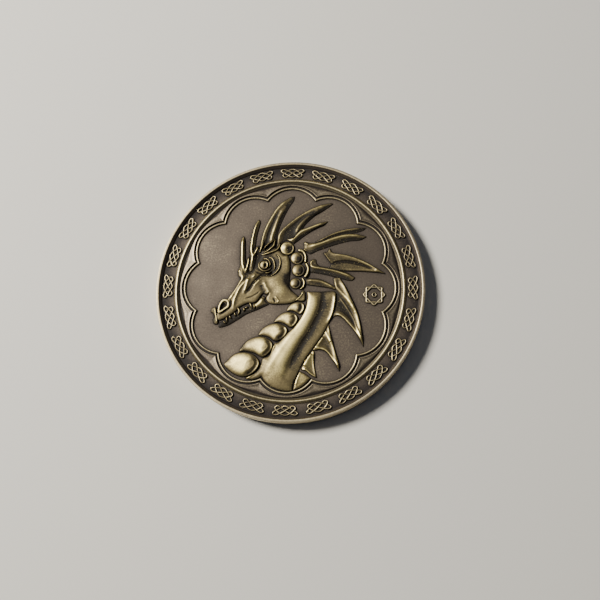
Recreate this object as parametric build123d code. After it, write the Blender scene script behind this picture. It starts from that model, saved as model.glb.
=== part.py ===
from build123d import *
import os
from math import cos, pi, sin

# A challenge coin, lying with its obverse up: a struck disc with a raised rim on both faces, a
# sunk border channel with interlaced knots, a ring, a twelve-lobed frame, and a relief on the
# sunk field. Millimetres, +Z out of the obverse, +Y to the top of the design, z = 0 on the
# reverse rim. The relief pieces stand face to face on the floors of the body.

# Body
coin_diameter = 44.45
coin_thickness = 3.0
edge_round = 0.2
land_width = 0.42  # flat top of the rim, with the edge round
rim_slope_width = 0.5  # land down to the channel floor
rim_ledge_width = 0.12
channel_depth = 0.55  # under the rim land
channel_width = 1.95
field_depth = 0.65  # under the rim land

# Ring and twelve-lobed frame
ring_width = 1.05
ring_crest_width = 0.2
ring_height = 0.33  # over the channel floor
ring_outer_slope = 0.4
ring_inner_height = 0.16
lobe_count = 12
lobe_rise = 1.65  # from a cusp out to the top of its lobe
bead_width = 0.38
bead_height = 0.28
groove_width = 0.22  # between the bead and the spandrel plate
plate_height = 0.22
plate_margin = 0.345  # narrowest part of the spandrel plate, at the top of a lobe

# Border knots: a loop at either end, linked by a long loop through both
knot_count = 24
knot_half_length = 1.95
knot_half_height = 0.84
knot_link_half_length = 1.25
knot_link_half_height = 0.76
knot_strand = 0.26
knot_height = 0.2

# Ornaments: a star of two squares beside the neck, and a chain with a boss on the reverse
star_centre = (14.0, -1.2)
star_square = 2.5
star_strand = 0.3
star_boss_radius = 0.45
star_height = 0.16
chain_count = 8
chain_radius = 8.6
chain_loop_radius = 4.1
chain_strand = 0.8
chain_height = 0.35
boss_radius = 2.6
boss_height = 0.4
boss_round = 0.3

# The relief was drawn for a field whose cusps lie at this radius, and scales with them
drawn_cusp_radius = 15.9
head_height = 0.36
jaw_height = 0.26
neck_height = 0.36
plate_heights = (0.3, 0.38, 0.42, 0.46, 0.48, 0.5)
horn_height = 0.34
fin_height = 0.32
collar_height = 0.4
scale_height = 0.52
scale_round = 0.3
tooth_height = 0.34
trim_height = 0.14  # eye, eyelid, brow and nostril, on top of the head
least_piece_area = 0.03  # smaller scraps of a cut outline are left out
relief_clearance = 0.05  # between the relief and the frame's bead

coin_radius = coin_diameter / 2
channel_outer = coin_radius - land_width - rim_slope_width
channel_inner = channel_outer - channel_width
ring_inner = channel_inner - ring_width
bead_top_radius = ring_inner - plate_margin - groove_width - bead_width / 2
cusp_radius = bead_top_radius - lobe_rise
knot_radius = (channel_outer + channel_inner) / 2
art_scale = cusp_radius / drawn_cusp_radius
channel_z = coin_thickness - channel_depth
field_z = coin_thickness - field_depth


# Body


def coin_body():
    """Disc turned from half a section: both faces have the rim, channel and field."""
    half = coin_thickness / 2
    land_inner = coin_radius - land_width
    ledge = channel_outer + rim_ledge_width
    ledge_z = channel_z + channel_depth / 3 - half
    upper = [
        (ring_inner, field_z - half),
        (ring_inner, channel_z - half),
        (channel_outer, channel_z - half),
        (ledge, ledge_z),
        (ledge + rim_ledge_width, ledge_z + channel_depth / 6),
        (land_inner, half),
        (coin_radius, half),
    ]
    lower = [(r, -z) for r, z in reversed(upper)]
    section = make_face(Polyline((0, field_z - half), *upper, *lower, (0, half - field_z), close=True))
    section = fillet(section.vertices().group_by(Axis.X)[-1], edge_round)
    return Pos(0, 0, half) * revolve(Plane.XZ * section, Axis.Z)


def on_obverse(solid):
    """The obverse is where everything is drawn, so it stays."""
    return solid


def on_reverse(solid):
    """Turns a piece of the obverse over, about Y, onto the reverse."""
    return Pos(0, 0, coin_thickness) * (Rot(0, 180, 0) * solid)


# Outlines


def smooth(points):
    """Face inside a closed curve through the points."""
    return make_face(Spline(*scaled(points), periodic=True))


def blade(one_edge, other_edge):
    """Face between two curved edges that run from a straight root to one shared tip."""
    one = Spline(*scaled(one_edge))
    other = Spline(*scaled(other_edge))
    root = Line(one @ 0, other @ 0)
    return make_face([one, other, root])


def scaled(points):
    return [(x * art_scale, y * art_scale) for x, y in points]


def spot(x, y, radius):
    return Pos(x * art_scale, y * art_scale) * Circle(radius * art_scale)


def lobed(cusp, top):
    """Face inside a ring of lobes: each arc goes from cusp to cusp by the top of its lobe."""
    step = 2 * pi / lobe_count
    arcs = []
    for k in range(lobe_count):
        middle = pi / 2 + k * step
        ends = [(cusp * cos(a), cusp * sin(a)) for a in (middle - step / 2, middle + step / 2)]
        arcs.append(ThreePointArc(ends[0], (top * cos(middle), top * sin(middle)), ends[1]))
    return make_face(arcs)


def lobed_at(offset):
    """The lobed face, moved out from the middle of its bead by offset."""
    return lobed(cusp_radius + offset, bead_top_radius + offset)


# Border, frame and ornaments, all drawn on the obverse


def ring():
    """Crested ring between the channel and the lobed frame."""
    crest_outer = channel_inner - ring_outer_slope
    section = Polyline(
        (ring_inner, 0),
        (channel_inner, 0),
        (crest_outer, ring_height),
        (crest_outer - ring_crest_width, ring_height),
        (ring_inner, ring_inner_height),
        close=True,
    )
    return Pos(0, 0, channel_z) * revolve(Plane.XZ * make_face(section), Axis.Z)


def frame_bead():
    outline = lobed_at(bead_width / 2) - lobed_at(-bead_width / 2)
    return Pos(0, 0, field_z) * extrude(outline, bead_height)


def spandrel_plate():
    outline = Circle(ring_inner) - lobed_at(bead_width / 2 + groove_width)
    return Pos(0, 0, field_z) * extrude(outline, plate_height)


def knot():
    """Border knot at the top of the channel."""
    loop = Circle(knot_half_height) - Circle(knot_half_height - knot_strand)
    shift = knot_half_length - knot_half_height
    link = Ellipse(knot_link_half_length, knot_link_half_height)
    link -= Ellipse(knot_link_half_length - knot_strand, knot_link_half_height - knot_strand)
    outline = link + Pos(shift, 0) * loop + Pos(-shift, 0) * loop
    return Pos(0, knot_radius, channel_z) * extrude(outline, knot_height)


def border_knots(turned):
    one = turned(knot())
    return Compound(children=[Rot(0, 0, 360 * k / knot_count) * one for k in range(knot_count)])


def star_ornament():
    """Two square bands, one turned on its corner, around a small round boss."""
    inner = star_square - 2 * star_strand
    square = Rectangle(star_square, star_square) - Rectangle(inner, inner)
    outline = square + Rot(0, 0, 45) * square + Circle(star_boss_radius)
    x, y = star_centre
    star = extrude(scale(outline, by=art_scale), star_height)
    return Pos(x * art_scale, y * art_scale, field_z) * star


def reverse_chain():
    """Ring of loops, each linked with its two neighbours."""
    loop = Circle(chain_loop_radius) - Circle(chain_loop_radius - chain_strand)
    outline = Sketch()
    for k in range(chain_count):
        outline += Rot(0, 0, 360 * k / chain_count) * (Pos(chain_radius, 0) * loop)
    return Pos(0, 0, field_z) * extrude(outline, chain_height)


def reverse_boss():
    solid = extrude(Circle(boss_radius), boss_height)
    top = solid.edges().group_by(Axis.Z)[-1]
    return Pos(0, 0, field_z) * fillet(top, boss_round)


# Dragon relief: outlines by name, in the order in which they lie on each other


def collar_outlines():
    """Collars that wrap round the lower three of the cheek's round scales."""
    return {
        "collar_upper": spot(1.35, 5.15, 1.42) - spot(1.0, 5.0, 1.3) - Pos(-1, 5) * Rectangle(3.8, 6),
        "collar_middle": spot(1.75, 2.95, 1.45) - spot(1.35, 2.95, 1.35) - Pos(-0.9, 3) * Rectangle(4, 6),
        "collar_lower": spot(1.35, 0.5, 1.15) - spot(1.0, 0.6, 1.05) - Pos(-1, 0.5) * Rectangle(4, 6),
    }


def scale_spots():
    """Centre and radius of the four round scales behind the cheek."""
    return {
        "cheek_scale_1": (-0.5, 6.65, 1.15),
        "cheek_scale_2": (1.2, 4.95, 1.1),
        "cheek_scale_3": (1.45, 2.95, 1.12),
        "cheek_scale_4": (1.15, 0.65, 0.98),
    }


def throat_outlines():
    """Six overlapping throat plates, from the jaw down."""
    return {
        "throat_plate_1": smooth([
            (1.2, -2.1), (1.9, -1.5), (2.3, -0.8), (2.75, -1.2), (2.6, -2.35), (1.9, -2.4),
        ]),
        "throat_plate_2": smooth([
            (-0.15, -3.95), (0.3, -3.0), (1.1, -2.55), (2.1, -2.5), (2.7, -3.1), (2.3, -4.35),
            (1.6, -4.55), (0.7, -4.1),
        ]),
        "throat_plate_3": smooth([
            (-2.3, -5.95), (-1.8, -5.1), (-1.0, -4.5), (0.3, -4.2), (1.5, -4.65), (1.4, -5.7),
            (0.3, -6.75), (-0.9, -6.2),
        ]),
        "throat_plate_4": smooth([
            (-4.8, -8.15), (-4.2, -7.2), (-3.1, -6.45), (-1.7, -6.15), (-0.3, -6.7), (-0.1, -7.7),
            (-1.1, -8.8), (-2.3, -8.95), (-3.4, -8.35),
        ]),
        "throat_plate_5": smooth([
            (-7.8, -10.85), (-7.0, -9.6), (-5.9, -8.8), (-4.5, -8.45), (-3.1, -8.85), (-2.4, -9.8),
            (-2.9, -11.0), (-4.0, -11.75), (-5.5, -11.3),
        ]),
        "throat_plate_6": smooth([
            (-10.1, -13.05), (-9.1, -11.9), (-8.0, -11.2), (-6.5, -11.05), (-5.1, -11.7), (-4.5, -12.8),
            (-5.1, -14.1), (-6.3, -14.95), (-7.7, -14.8), (-9.1, -14.15),
        ]),
    }


def horn_outlines():
    """Spikes over the brow, horns of the crest, and the frill behind the cheek."""
    return {
        "brow_spike_front": blade(
            [(-8.3, 2.9), (-8.35, 5.5), (-8.4, 7.4), (-8.0, 8.75)],
            [(-7.0, 2.9), (-7.6, 5.0), (-7.75, 7.0), (-8.0, 8.75)],
        ),
        "brow_spike_rear": blade(
            [(-6.6, 3.3), (-6.7, 6.4), (-6.55, 8.6), (-6.1, 10.4), (-5.3, 11.75)],
            [(-5.9, 3.3), (-6.1, 6.4), (-6.15, 8.4), (-5.75, 10.3), (-5.3, 11.75)],
        ),
        "crest_horn_1": blade(
            [(-5.2, 5.9), (-5.0, 7.6), (-4.6, 9.4), (-3.7, 11.6), (-2.5, 13.6), (-1.0, 15.1), (0.6, 16.0)],
            [(-3.7, 6.1), (-2.85, 8.3), (-2.65, 9.9), (-2.3, 11.6), (-1.5, 13.4), (-0.5, 14.8), (0.6, 16.0)],
        ),
        "crest_horn_2": blade(
            [(-2.3, 7.0), (-2.05, 8.8), (-1.3, 10.2), (0.4, 11.7), (2.6, 13.2), (5.0, 14.2), (7.1, 14.7)],
            [(-0.4, 7.6), (1.1, 9.4), (1.7, 10.9), (3.0, 12.3), (4.5, 13.3), (5.8, 14.1), (7.1, 14.7)],
        ),
        "crest_horn_3": blade(
            [(-0.7, 8.35), (0.6, 8.9), (1.7, 9.9), (3.6, 10.6), (5.1, 11.25), (6.45, 11.5)],
            [(0.4, 7.6), (1.4, 8.6), (2.6, 9.5), (4.0, 10.3), (5.3, 11.0), (6.45, 11.5)],
        ),
        "crest_horn_4": blade(
            [(2.0, 7.5), (4.3, 7.9), (6.3, 8.9), (8.6, 9.8), (10.7, 10.25), (12.7, 10.45)],
            [(2.7, 6.3), (4.5, 6.95), (6.4, 7.9), (8.6, 8.7), (10.4, 9.5), (12.7, 10.45)],
        ),
        "crest_horn_4_tine": blade(
            [(7.3, 8.35), (8.8, 8.95), (10.2, 9.2), (12.7, 8.8)],
            [(7.6, 7.9), (9.0, 8.35), (10.6, 8.7), (12.7, 8.8)],
        ),
        "frill_blade": blade(
            [(5.5, 5.9), (6.8, 6.7), (7.5, 6.0), (10.3, 5.5), (12.8, 4.5), (14.6, 3.5), (15.9, 2.45)],
            [(6.8, 4.0), (7.4, 3.2), (9.4, 2.9), (11.5, 2.75), (13.4, 2.75), (14.8, 2.6), (15.9, 2.45)],
        ),
        "frill_spike_upper": blade(
            [(3.5, 4.7), (4.6, 3.85), (6.6, 3.35), (8.6, 2.7), (9.9, 2.2), (11.0, 1.6)],
            [(3.6, 3.1), (4.9, 2.8), (6.8, 2.5), (8.6, 2.05), (9.8, 1.75), (11.0, 1.6)],
        ),
        "frill_spike_lower": blade(
            [(2.75, 1.35), (4.2, 1.25), (5.7, 0.9), (7.75, -0.2)],
            [(2.8, 0.75), (4.4, 0.45), (6.0, 0.05), (7.75, -0.2)],
        ),
    }


def mane_outlines():
    """Four pointed fins down the back of the neck."""
    return {
        "mane_fin_1": blade(
            [(7.2, 1.6), (8.4, 1.6), (9.5, -0.9), (10.7, -3.2), (11.6, -6.0), (12.25, -10.0)],
            [(7.75, -4.4), (8.8, -4.75), (9.9, -5.7), (11.0, -7.2), (11.7, -8.5), (12.25, -10.0)],
        ),
        "mane_fin_2": blade(
            [(6.75, -6.1), (6.95, -7.8), (7.5, -9.6), (7.95, -11.6), (8.45, -13.9)],
            [(4.4, -10.1), (5.3, -10.15), (6.3, -10.6), (7.5, -12.0), (8.45, -13.9)],
        ),
        "mane_fin_3": blade(
            [(4.5, -10.4), (4.25, -11.8), (4.3, -13.2), (4.85, -15.0)],
            [(2.2, -13.7), (3.0, -13.9), (3.9, -14.5), (4.85, -15.0)],
        ),
        "mane_fin_4": smooth([
            (2.2, -13.95), (3.1, -14.4), (4.0, -15.1), (2.6, -16.4), (1.1, -16.9), (1.5, -15.3),
        ]),
    }


def head_outlines():
    """Nose lip, skull with upper jaw, and the lower jaw."""
    return {
        "nose_lip": smooth([
            (-12.1, -3.5), (-12.8, -3.95), (-12.55, -4.7), (-12.35, -6.1), (-11.7, -6.35), (-11.6, -5.4),
            (-11.95, -4.4),
        ]),
        "skull": smooth([
            (-11.9, -4.2), (-11.4, -2.9), (-10.4, -2.2), (-9.5, -1.3), (-8.6, 0.4), (-8.3, 1.9), (-8.2, 3.1),
            (-7.2, 3.2), (-6.2, 3.4), (-5.4, 4.7), (-4.6, 5.9), (-3.0, 6.6), (-1.6, 6.4), (-0.4, 5.4),
            (-0.1, 3.6), (-0.2, 1.6), (0.5, -0.3), (1.8, -0.7), (0.9, -2.2), (-0.8, -2.9), (-2.8, -2.8),
            (-3.2, -1.4), (-4.3, -1.1), (-5.2, -2.3), (-6.8, -2.8), (-8.3, -3.7), (-9.8, -4.9), (-11.5, -5.7),
        ]),
        "lower_jaw": smooth([
            (-11.3, -6.0), (-11.2, -6.9), (-9.6, -6.4), (-7.6, -5.1), (-5.4, -4.0), (-3.4, -3.15), (-2.6, -2.8),
            (-3.3, -1.5), (-4.3, -1.2), (-5.5, -2.6), (-7.4, -3.3), (-9.2, -4.7),
        ]),
    }


def neck_outline():
    """Neck, which also fills the space beside the lowest throat plate."""
    front = [
        (2.5, -0.8), (2.95, -2.0), (2.4, -4.5), (0.6, -6.9), (-1.5, -9.2), (-2.4, -10.6), (-4.2, -12.0),
        (-5.2, -14.2), (-6.6, -15.3),
    ]
    back = [(7.7, -0.9), (7.45, -3.2), (6.6, -6.3), (5.0, -8.5), (3.0, -11.0), (1.7, -13.6), (1.0, -17.6)]
    edges = [Spline(*scaled(front)), Spline(*scaled(back))]
    edges += [Line(edges[0] @ 0, edges[1] @ 0), Line(edges[0] @ 1, edges[1] @ 1)]
    return make_face(edges)


def tooth(x, y, length, width, lean):
    """Triangle with its root at (x, y), pointing down and leaning by lean degrees."""
    half = width / 2
    outline = make_face(Polyline(*scaled([(-half, 0), (half, 0), (0, -length)]), close=True))
    return Pos(x * art_scale, y * art_scale) * Rot(0, 0, lean) * outline


def teeth_outline():
    teeth = [
        tooth(-6.25, -2.75, 0.95, 0.4, 15),
        tooth(-7.2, -3.25, 0.6, 0.4, 0),
        tooth(-8.4, -3.6, 1.1, 0.5, 10),
        tooth(-9.3, -4.5, 0.7, 0.4, 20),
        tooth(-10.2, -5.2, 0.8, 0.45, 0),
    ]
    return Sketch() + teeth


def trim_outlines():
    """Low pieces on top of the skull: the eye with its lids, the orbit, and the nostril."""
    return {
        "eyeball": spot(-4.15, 3.85, 0.5),
        "eyelid": spot(-4.15, 3.85, 1.05) - spot(-4.15, 3.85, 0.6),
        "orbit_arc": spot(-3.9, 3.8, 2.15) - spot(-4.1, 3.85, 1.75) - spot(-6.2, 4.6, 2.4),
        "nostril": smooth([(-11.6, -4.3), (-11.4, -3.1), (-10.6, -2.5), (-9.8, -2.8), (-9.9, -3.5), (-10.8, -4.1)])
        - smooth([(-11.1, -3.8), (-11.0, -3.1), (-10.5, -2.85), (-10.2, -3.1), (-10.4, -3.5)]),
    }


def lift(outline, z, height):
    """Solids on the plane z from each patch of an outline that is more than a scrap."""
    patches = [f for f in outline.faces() if f.area > least_piece_area]
    return Compound(children=[Pos(0, 0, z) * extrude(f, height) for f in patches])


def dragon():
    """Every piece of the relief, each cut by those that lie over it and by the frame."""
    layers = [(name, spot(*at), None) for name, at in scale_spots().items()]
    layers += [(name, face, collar_height) for name, face in collar_outlines().items()]
    layers += [("teeth", teeth_outline(), tooth_height)]
    plates = throat_outlines()
    layers += [(name, plates[name], height) for name, height in reversed(list(zip(plates, plate_heights)))]
    heads = head_outlines()
    horns = horn_outlines()
    forward = ["brow_spike_front", "brow_spike_rear", "crest_horn_3", "crest_horn_1", "crest_horn_2"]
    layers += [("nose_lip", heads["nose_lip"], jaw_height)]
    layers += [("skull", heads["skull"], head_height), ("lower_jaw", heads["lower_jaw"], jaw_height)]
    layers += [(name, horns[name], horn_height) for name in forward]
    layers += [(name, face, horn_height) for name, face in horns.items() if name not in forward]
    layers += [(name, face, fin_height) for name, face in mane_outlines().items()]
    layers += [("neck", neck_outline(), neck_height)]

    inside = lobed_at(-bead_width / 2 - relief_clearance)
    pieces = {}
    above = []
    for name, outline, height in layers:
        for over in above:
            outline = outline - over
        outline = outline & inside
        above.append(outline)
        if height is None:
            disc = extrude(outline, scale_height)
            dome = fillet(disc.edges().group_by(Axis.Z)[-1], scale_round)
            pieces[name] = Pos(0, 0, field_z) * dome
        else:
            pieces[name] = lift(outline, field_z, height)
    for name, outline in trim_outlines().items():
        pieces[name] = lift(outline, field_z + head_height, trim_height)
    return pieces


def main():
    pieces = {"coin_body": coin_body()}
    for face, turned in (("obverse", on_obverse), ("reverse", on_reverse)):
        pieces[f"{face}_ring"] = turned(ring())
        pieces[f"{face}_frame_bead"] = turned(frame_bead())
        pieces[f"{face}_spandrel_plate"] = turned(spandrel_plate())
        pieces[f"{face}_border_knots"] = border_knots(turned)
    pieces["star_ornament"] = star_ornament()
    pieces["reverse_chain"] = on_reverse(reverse_chain())
    pieces["reverse_boss"] = on_reverse(reverse_boss())
    pieces.update(dragon())
    os.makedirs("parts", exist_ok=True)
    for name, shape in pieces.items():
        export_step(shape, f"parts/{name}.step")


main()
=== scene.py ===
import math

import bmesh
import bpy
import numpy as np
from mathutils import Matrix, Vector


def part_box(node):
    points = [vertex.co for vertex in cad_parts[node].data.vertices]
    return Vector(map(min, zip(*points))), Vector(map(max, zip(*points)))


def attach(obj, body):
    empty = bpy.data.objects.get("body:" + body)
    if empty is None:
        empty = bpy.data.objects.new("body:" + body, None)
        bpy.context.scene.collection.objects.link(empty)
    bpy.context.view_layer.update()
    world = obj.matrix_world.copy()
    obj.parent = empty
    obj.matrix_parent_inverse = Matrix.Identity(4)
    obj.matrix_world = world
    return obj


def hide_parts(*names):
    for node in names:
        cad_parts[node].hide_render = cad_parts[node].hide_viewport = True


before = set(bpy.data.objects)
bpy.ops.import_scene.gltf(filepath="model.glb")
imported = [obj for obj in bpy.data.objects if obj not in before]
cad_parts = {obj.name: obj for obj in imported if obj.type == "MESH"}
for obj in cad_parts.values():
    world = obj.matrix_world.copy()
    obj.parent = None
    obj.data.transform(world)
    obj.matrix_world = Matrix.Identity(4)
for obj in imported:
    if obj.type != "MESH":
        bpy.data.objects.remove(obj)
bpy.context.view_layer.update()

mm = 0.001

# heights and radii that the CAD pieces give, in millimetres
coinRadius, _, coinHeight = np.array(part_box("coin_body")[1]) / mm
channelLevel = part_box("obverse_ring")[0][2] / mm
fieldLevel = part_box("obverse_spandrel_plate")[0][2] / mm
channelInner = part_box("obverse_ring")[1][0] / mm
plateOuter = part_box("obverse_spandrel_plate")[1][0] / mm
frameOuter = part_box("obverse_frame_bead")[1][1] / mm
drawnFrameOuter = 17.74  # the dragon is drawn for a frame of this radius
art = frameOuter / drawnFrameOuter
print("coin", coinRadius, coinHeight, "field at", fieldLevel, "channel at", channelLevel, "art", art)

# points worked on together, which keeps the arrays of distances small
rowsAtOnce = 4000


# Catmull-Rom curve through the points, taken again at equal steps of its length
def smoothLine(points, step, closed=False, spanSteps=16):
    p = np.asarray(points, float)
    if closed:
        q = np.vstack([p[-1:], p, p[:2]])
    else:
        q = np.vstack([2 * p[0] - p[1], p, 2 * p[-1] - p[-2]])
    spans = len(q) - 3
    u = np.linspace(0, 1, spanSteps, endpoint=False)[None, :, None]
    a, b, c, d = (q[k:k + spans, None, :] for k in range(4))
    curve = 0.5 * (2 * b + (c - a) * u + (2 * a - 5 * b + 4 * c - d) * u**2 + (3 * b - a - 3 * c + d) * u**3)
    curve = np.vstack([curve.reshape(-1, p.shape[1]), p[:1] if closed else p[-1:]])
    run = np.concatenate([[0], np.cumsum(np.linalg.norm(np.diff(curve, axis=0), axis=1))])
    count = max(int(math.ceil(run[-1] / step)), 4) + 1
    where = np.linspace(0, run[-1], count)
    return np.stack([np.interp(where, run, curve[:, k]) for k in range(p.shape[1])], axis=1)


# Closed line of smooth runs, with a corner where one run ends and the next starts
def outlineOf(runs, step=0.1):
    if len(runs) == 1:
        return smoothLine(runs[0], step, closed=True)
    lines = [smoothLine(run, step) for run in runs]
    return np.vstack([line[:-1] for line in lines] + [lines[0][:1]])


# Distance from each point to the nearest place on any of the lines, that place, and how far along the lines it is. The
# place on each segment is the point's projection on it, held between its two ends.
def nearest(xy, lines):
    start = np.vstack([line[:-1] for line in lines])
    run = np.vstack([line[1:] for line in lines]) - start
    square = np.maximum((run**2).sum(1), 1e-12)
    gaps, places, alongs = [], [], []
    for low in range(0, len(xy), rowsAtOnce):
        rel = xy[low:low + rowsAtOnce, None, :] - start
        u = np.clip((rel * run).sum(2) / square, 0, 1)
        gap = np.linalg.norm(rel - u[..., None] * run, axis=2)
        best = gap.argmin(1)
        rows = np.arange(len(best))
        gaps.append(gap[rows, best])
        places.append(start[best] + u[rows, best][:, None] * run[best])
        alongs.append((best + u[rows, best]) / len(run))
    return np.concatenate(gaps), np.concatenate(places), np.concatenate(alongs)


# True where a ray from the point towards +X crosses the closed lines an odd number of times
def insideOf(xy, lines):
    start = np.vstack([line[:-1] for line in lines])
    end = np.vstack([line[1:] for line in lines])
    upward = (start[:, 1] < end[:, 1])[:, None]
    low, high = np.where(upward, start, end), np.where(upward, end, start)
    steep = high[:, 1] - low[:, 1] >= 1e-9
    low, high = low[steep], high[steep]
    odd = np.zeros(len(xy), bool)
    for first in range(0, len(xy), rowsAtOnce):
        x, y = xy[first:first + rowsAtOnce, 0, None], xy[first:first + rowsAtOnce, 1, None]
        level = (y >= low[:, 1]) & (y < high[:, 1])
        cross = low[:, 0] + (y - low[:, 1]) * (high[:, 0] - low[:, 0]) / (high[:, 1] - low[:, 1])
        odd[first:first + rowsAtOnce] = (level & (x < cross)).sum(1) % 2 == 1
    return odd


# Mean of each value of a grid with those around it, repeated, counting only the cells that are used
def blurred(values, used, times):
    total = np.where(used, values, 0.0)
    weight = used.astype(float)
    for _ in range(times):
        for axis in (0, 1):
            total = total + np.roll(total, 1, axis) + np.roll(total, -1, axis)
            weight = weight + np.roll(weight, 1, axis) + np.roll(weight, -1, axis)
    return total / np.maximum(weight, 1e-9)


closing = {"mergeWithin": 2e-7, "sharpAngle": 75}


# One closed mesh object from millimetre points and quads, with the crest value that the finish reads. Points of a pole
# or a seam that lie within the merge distance become one, and faces are turned outwards.
def makePiece(name, points, quads, crest, nodes, slotName, material):
    mesh = bpy.data.meshes.new(name)
    mesh.from_pydata((points * mm).tolist(), [], quads.tolist())
    layer = mesh.attributes.new("crest", "FLOAT", "POINT")
    layer.data.foreach_set("value", np.asarray(crest, np.float32))
    mesh.polygons.foreach_set("use_smooth", np.ones(len(mesh.polygons), bool))
    mesh.materials.append(material)
    mesh.validate()
    bm = bmesh.new()
    bm.from_mesh(mesh)
    bmesh.ops.remove_doubles(bm, verts=bm.verts, dist=closing["mergeWithin"])
    bmesh.ops.recalc_face_normals(bm, faces=bm.faces)
    bm.to_mesh(mesh)
    bm.free()
    mesh.set_sharp_from_angle(angle=math.radians(closing["sharpAngle"]))
    mesh.update()
    piece = bpy.data.objects.new(name, mesh)
    bpy.context.scene.collection.objects.link(piece)
    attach(piece, "root")
    if nodes:
        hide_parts(*nodes)


# Quads between rings of points: ring k joins ring k + 1, and the last joins the first
def ringQuads(rings, around):
    k = np.arange(rings)[:, None]
    i = np.arange(around)[None, :]
    after = (i + 1) % around
    nextRing = (k + 1) % rings
    corners = [k * around + i, k * around + after, nextRing * around + after, nextRing * around + i]
    return np.stack(corners, -1).reshape(-1, 4)


# The same piece for the reverse: turned half round about Y, then lifted by the coin's height
def toReverse(points):
    return np.stack([-points[:, 0], points[:, 1], coinHeight - points[:, 2]], 1)


strokeShape = {"step": 0.12, "endFade": 7, "endPart": 0.35}


# Heights of a ridge or groove: they fall off with the distance from a smooth line as a bell curve, and sink smoothly
# to a part of the height at its ends. A single point gives a round bump.
def stroke(xy, points, width, height):
    if len(points) == 1:
        off = (xy - np.array(points[0])) / width
        return height * np.exp(-(off**2).sum(1))
    line = smoothLine(points, strokeShape["step"])
    gap, _, along = nearest(xy, [line])
    ends = np.clip(np.minimum(along, 1 - along) * strokeShape["endFade"], 0, 1)
    rest = strokeShape["endPart"]
    return height * (rest + (1 - rest) * ends * ends * (3 - 2 * ends)) * np.exp(-(gap / width)**2)


# How the crest value follows the relief: by what stands out of its surroundings, and by the height above the field
polish = {"detail": 4.5, "height": 1.5, "level": 0.33, "most": 0.5, "blur": 14, "underside": -0.4}

# How the grid of a piece of relief is made, in steps of millimetres and passes
relief = {
    "step": 0.06, "relaxPasses": 4, "relaxPull": 0.7, "gapBlur": 10, "evenRun": 0.5, "evenLag": 0.2,
    "edgeRun": 0.12, "edgePart": 0.35, "lean": 0.5, "least": 0.02, "most": 0.62,
}


# Cells of a square grid that are inside the outline, with each pinch of two cells corner to corner filled in
def cellsInside(x, y, lines, step):
    gx, gy = np.meshgrid(x[:-1] + step / 2, y[:-1] + step / 2, indexing="ij")
    kept = insideOf(np.stack([gx, gy], -1).reshape(-1, 2), lines).reshape(gx.shape)
    for _ in range(2):
        one, two, three, four = kept[:-1, :-1], kept[1:, 1:], kept[1:, :-1], kept[:-1, 1:]
        risingPinch, fallingPinch = one & two & ~three & ~four, three & four & ~one & ~two
        kept[1:, :-1] |= risingPinch
        kept[:-1, :-1] |= fallingPinch
    return kept


# Places of the grid's points: each is drawn to the mean of the four round it, and those on the edge to the outline
def relaxedGrid(x, y, used, edge, lines):
    xy = np.stack(np.meshgrid(x, y, indexing="ij"), -1)
    pull = relief["relaxPull"]
    for _ in range(relief["relaxPasses"]):
        xy[edge] = nearest(xy[edge], lines)[1]
        sums = [np.where(used[..., None], xy, 0), used[..., None].astype(float)]
        sums = [sum(np.roll(a, by, axis) for by in (-1, 1) for axis in (0, 1)) for a in sums]
        xy = np.where(used[..., None], (1 - pull) * xy + pull * sums[0] / np.maximum(sums[1], 1), xy)
    xy[edge] = nearest(xy[edge], lines)[1]
    return xy


# Height of the relief at each point: a wall, then a round shoulder that is a quarter of an ellipse over the distance
# from the edge, then the strokes, which are weaker close to the edge, then a lean that grows across the piece
def reliefHeight(spec, drawn, gaps):
    edge, lift, shoulder = spec["rise"]
    height = edge + (lift - edge) * np.sqrt(1 - (1 - np.clip(gaps / shoulder, 0, 1))**2)
    rest = relief["edgePart"]
    nearEdge = rest + (1 - rest) * np.clip(gaps / relief["edgeRun"], 0, 1)
    for points, width, amount in spec.get("strokes", []):
        height = height + stroke(drawn, points, width, amount) * nearEdge
    if "lean" in spec:
        across = (drawn - drawn.mean(0)) @ np.array(spec["lean"])
        lean = 1 + relief["lean"] * across / np.abs(across).max()
        height = edge + (height - edge) * lean
    return np.clip(height, relief["least"], relief["most"])


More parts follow.
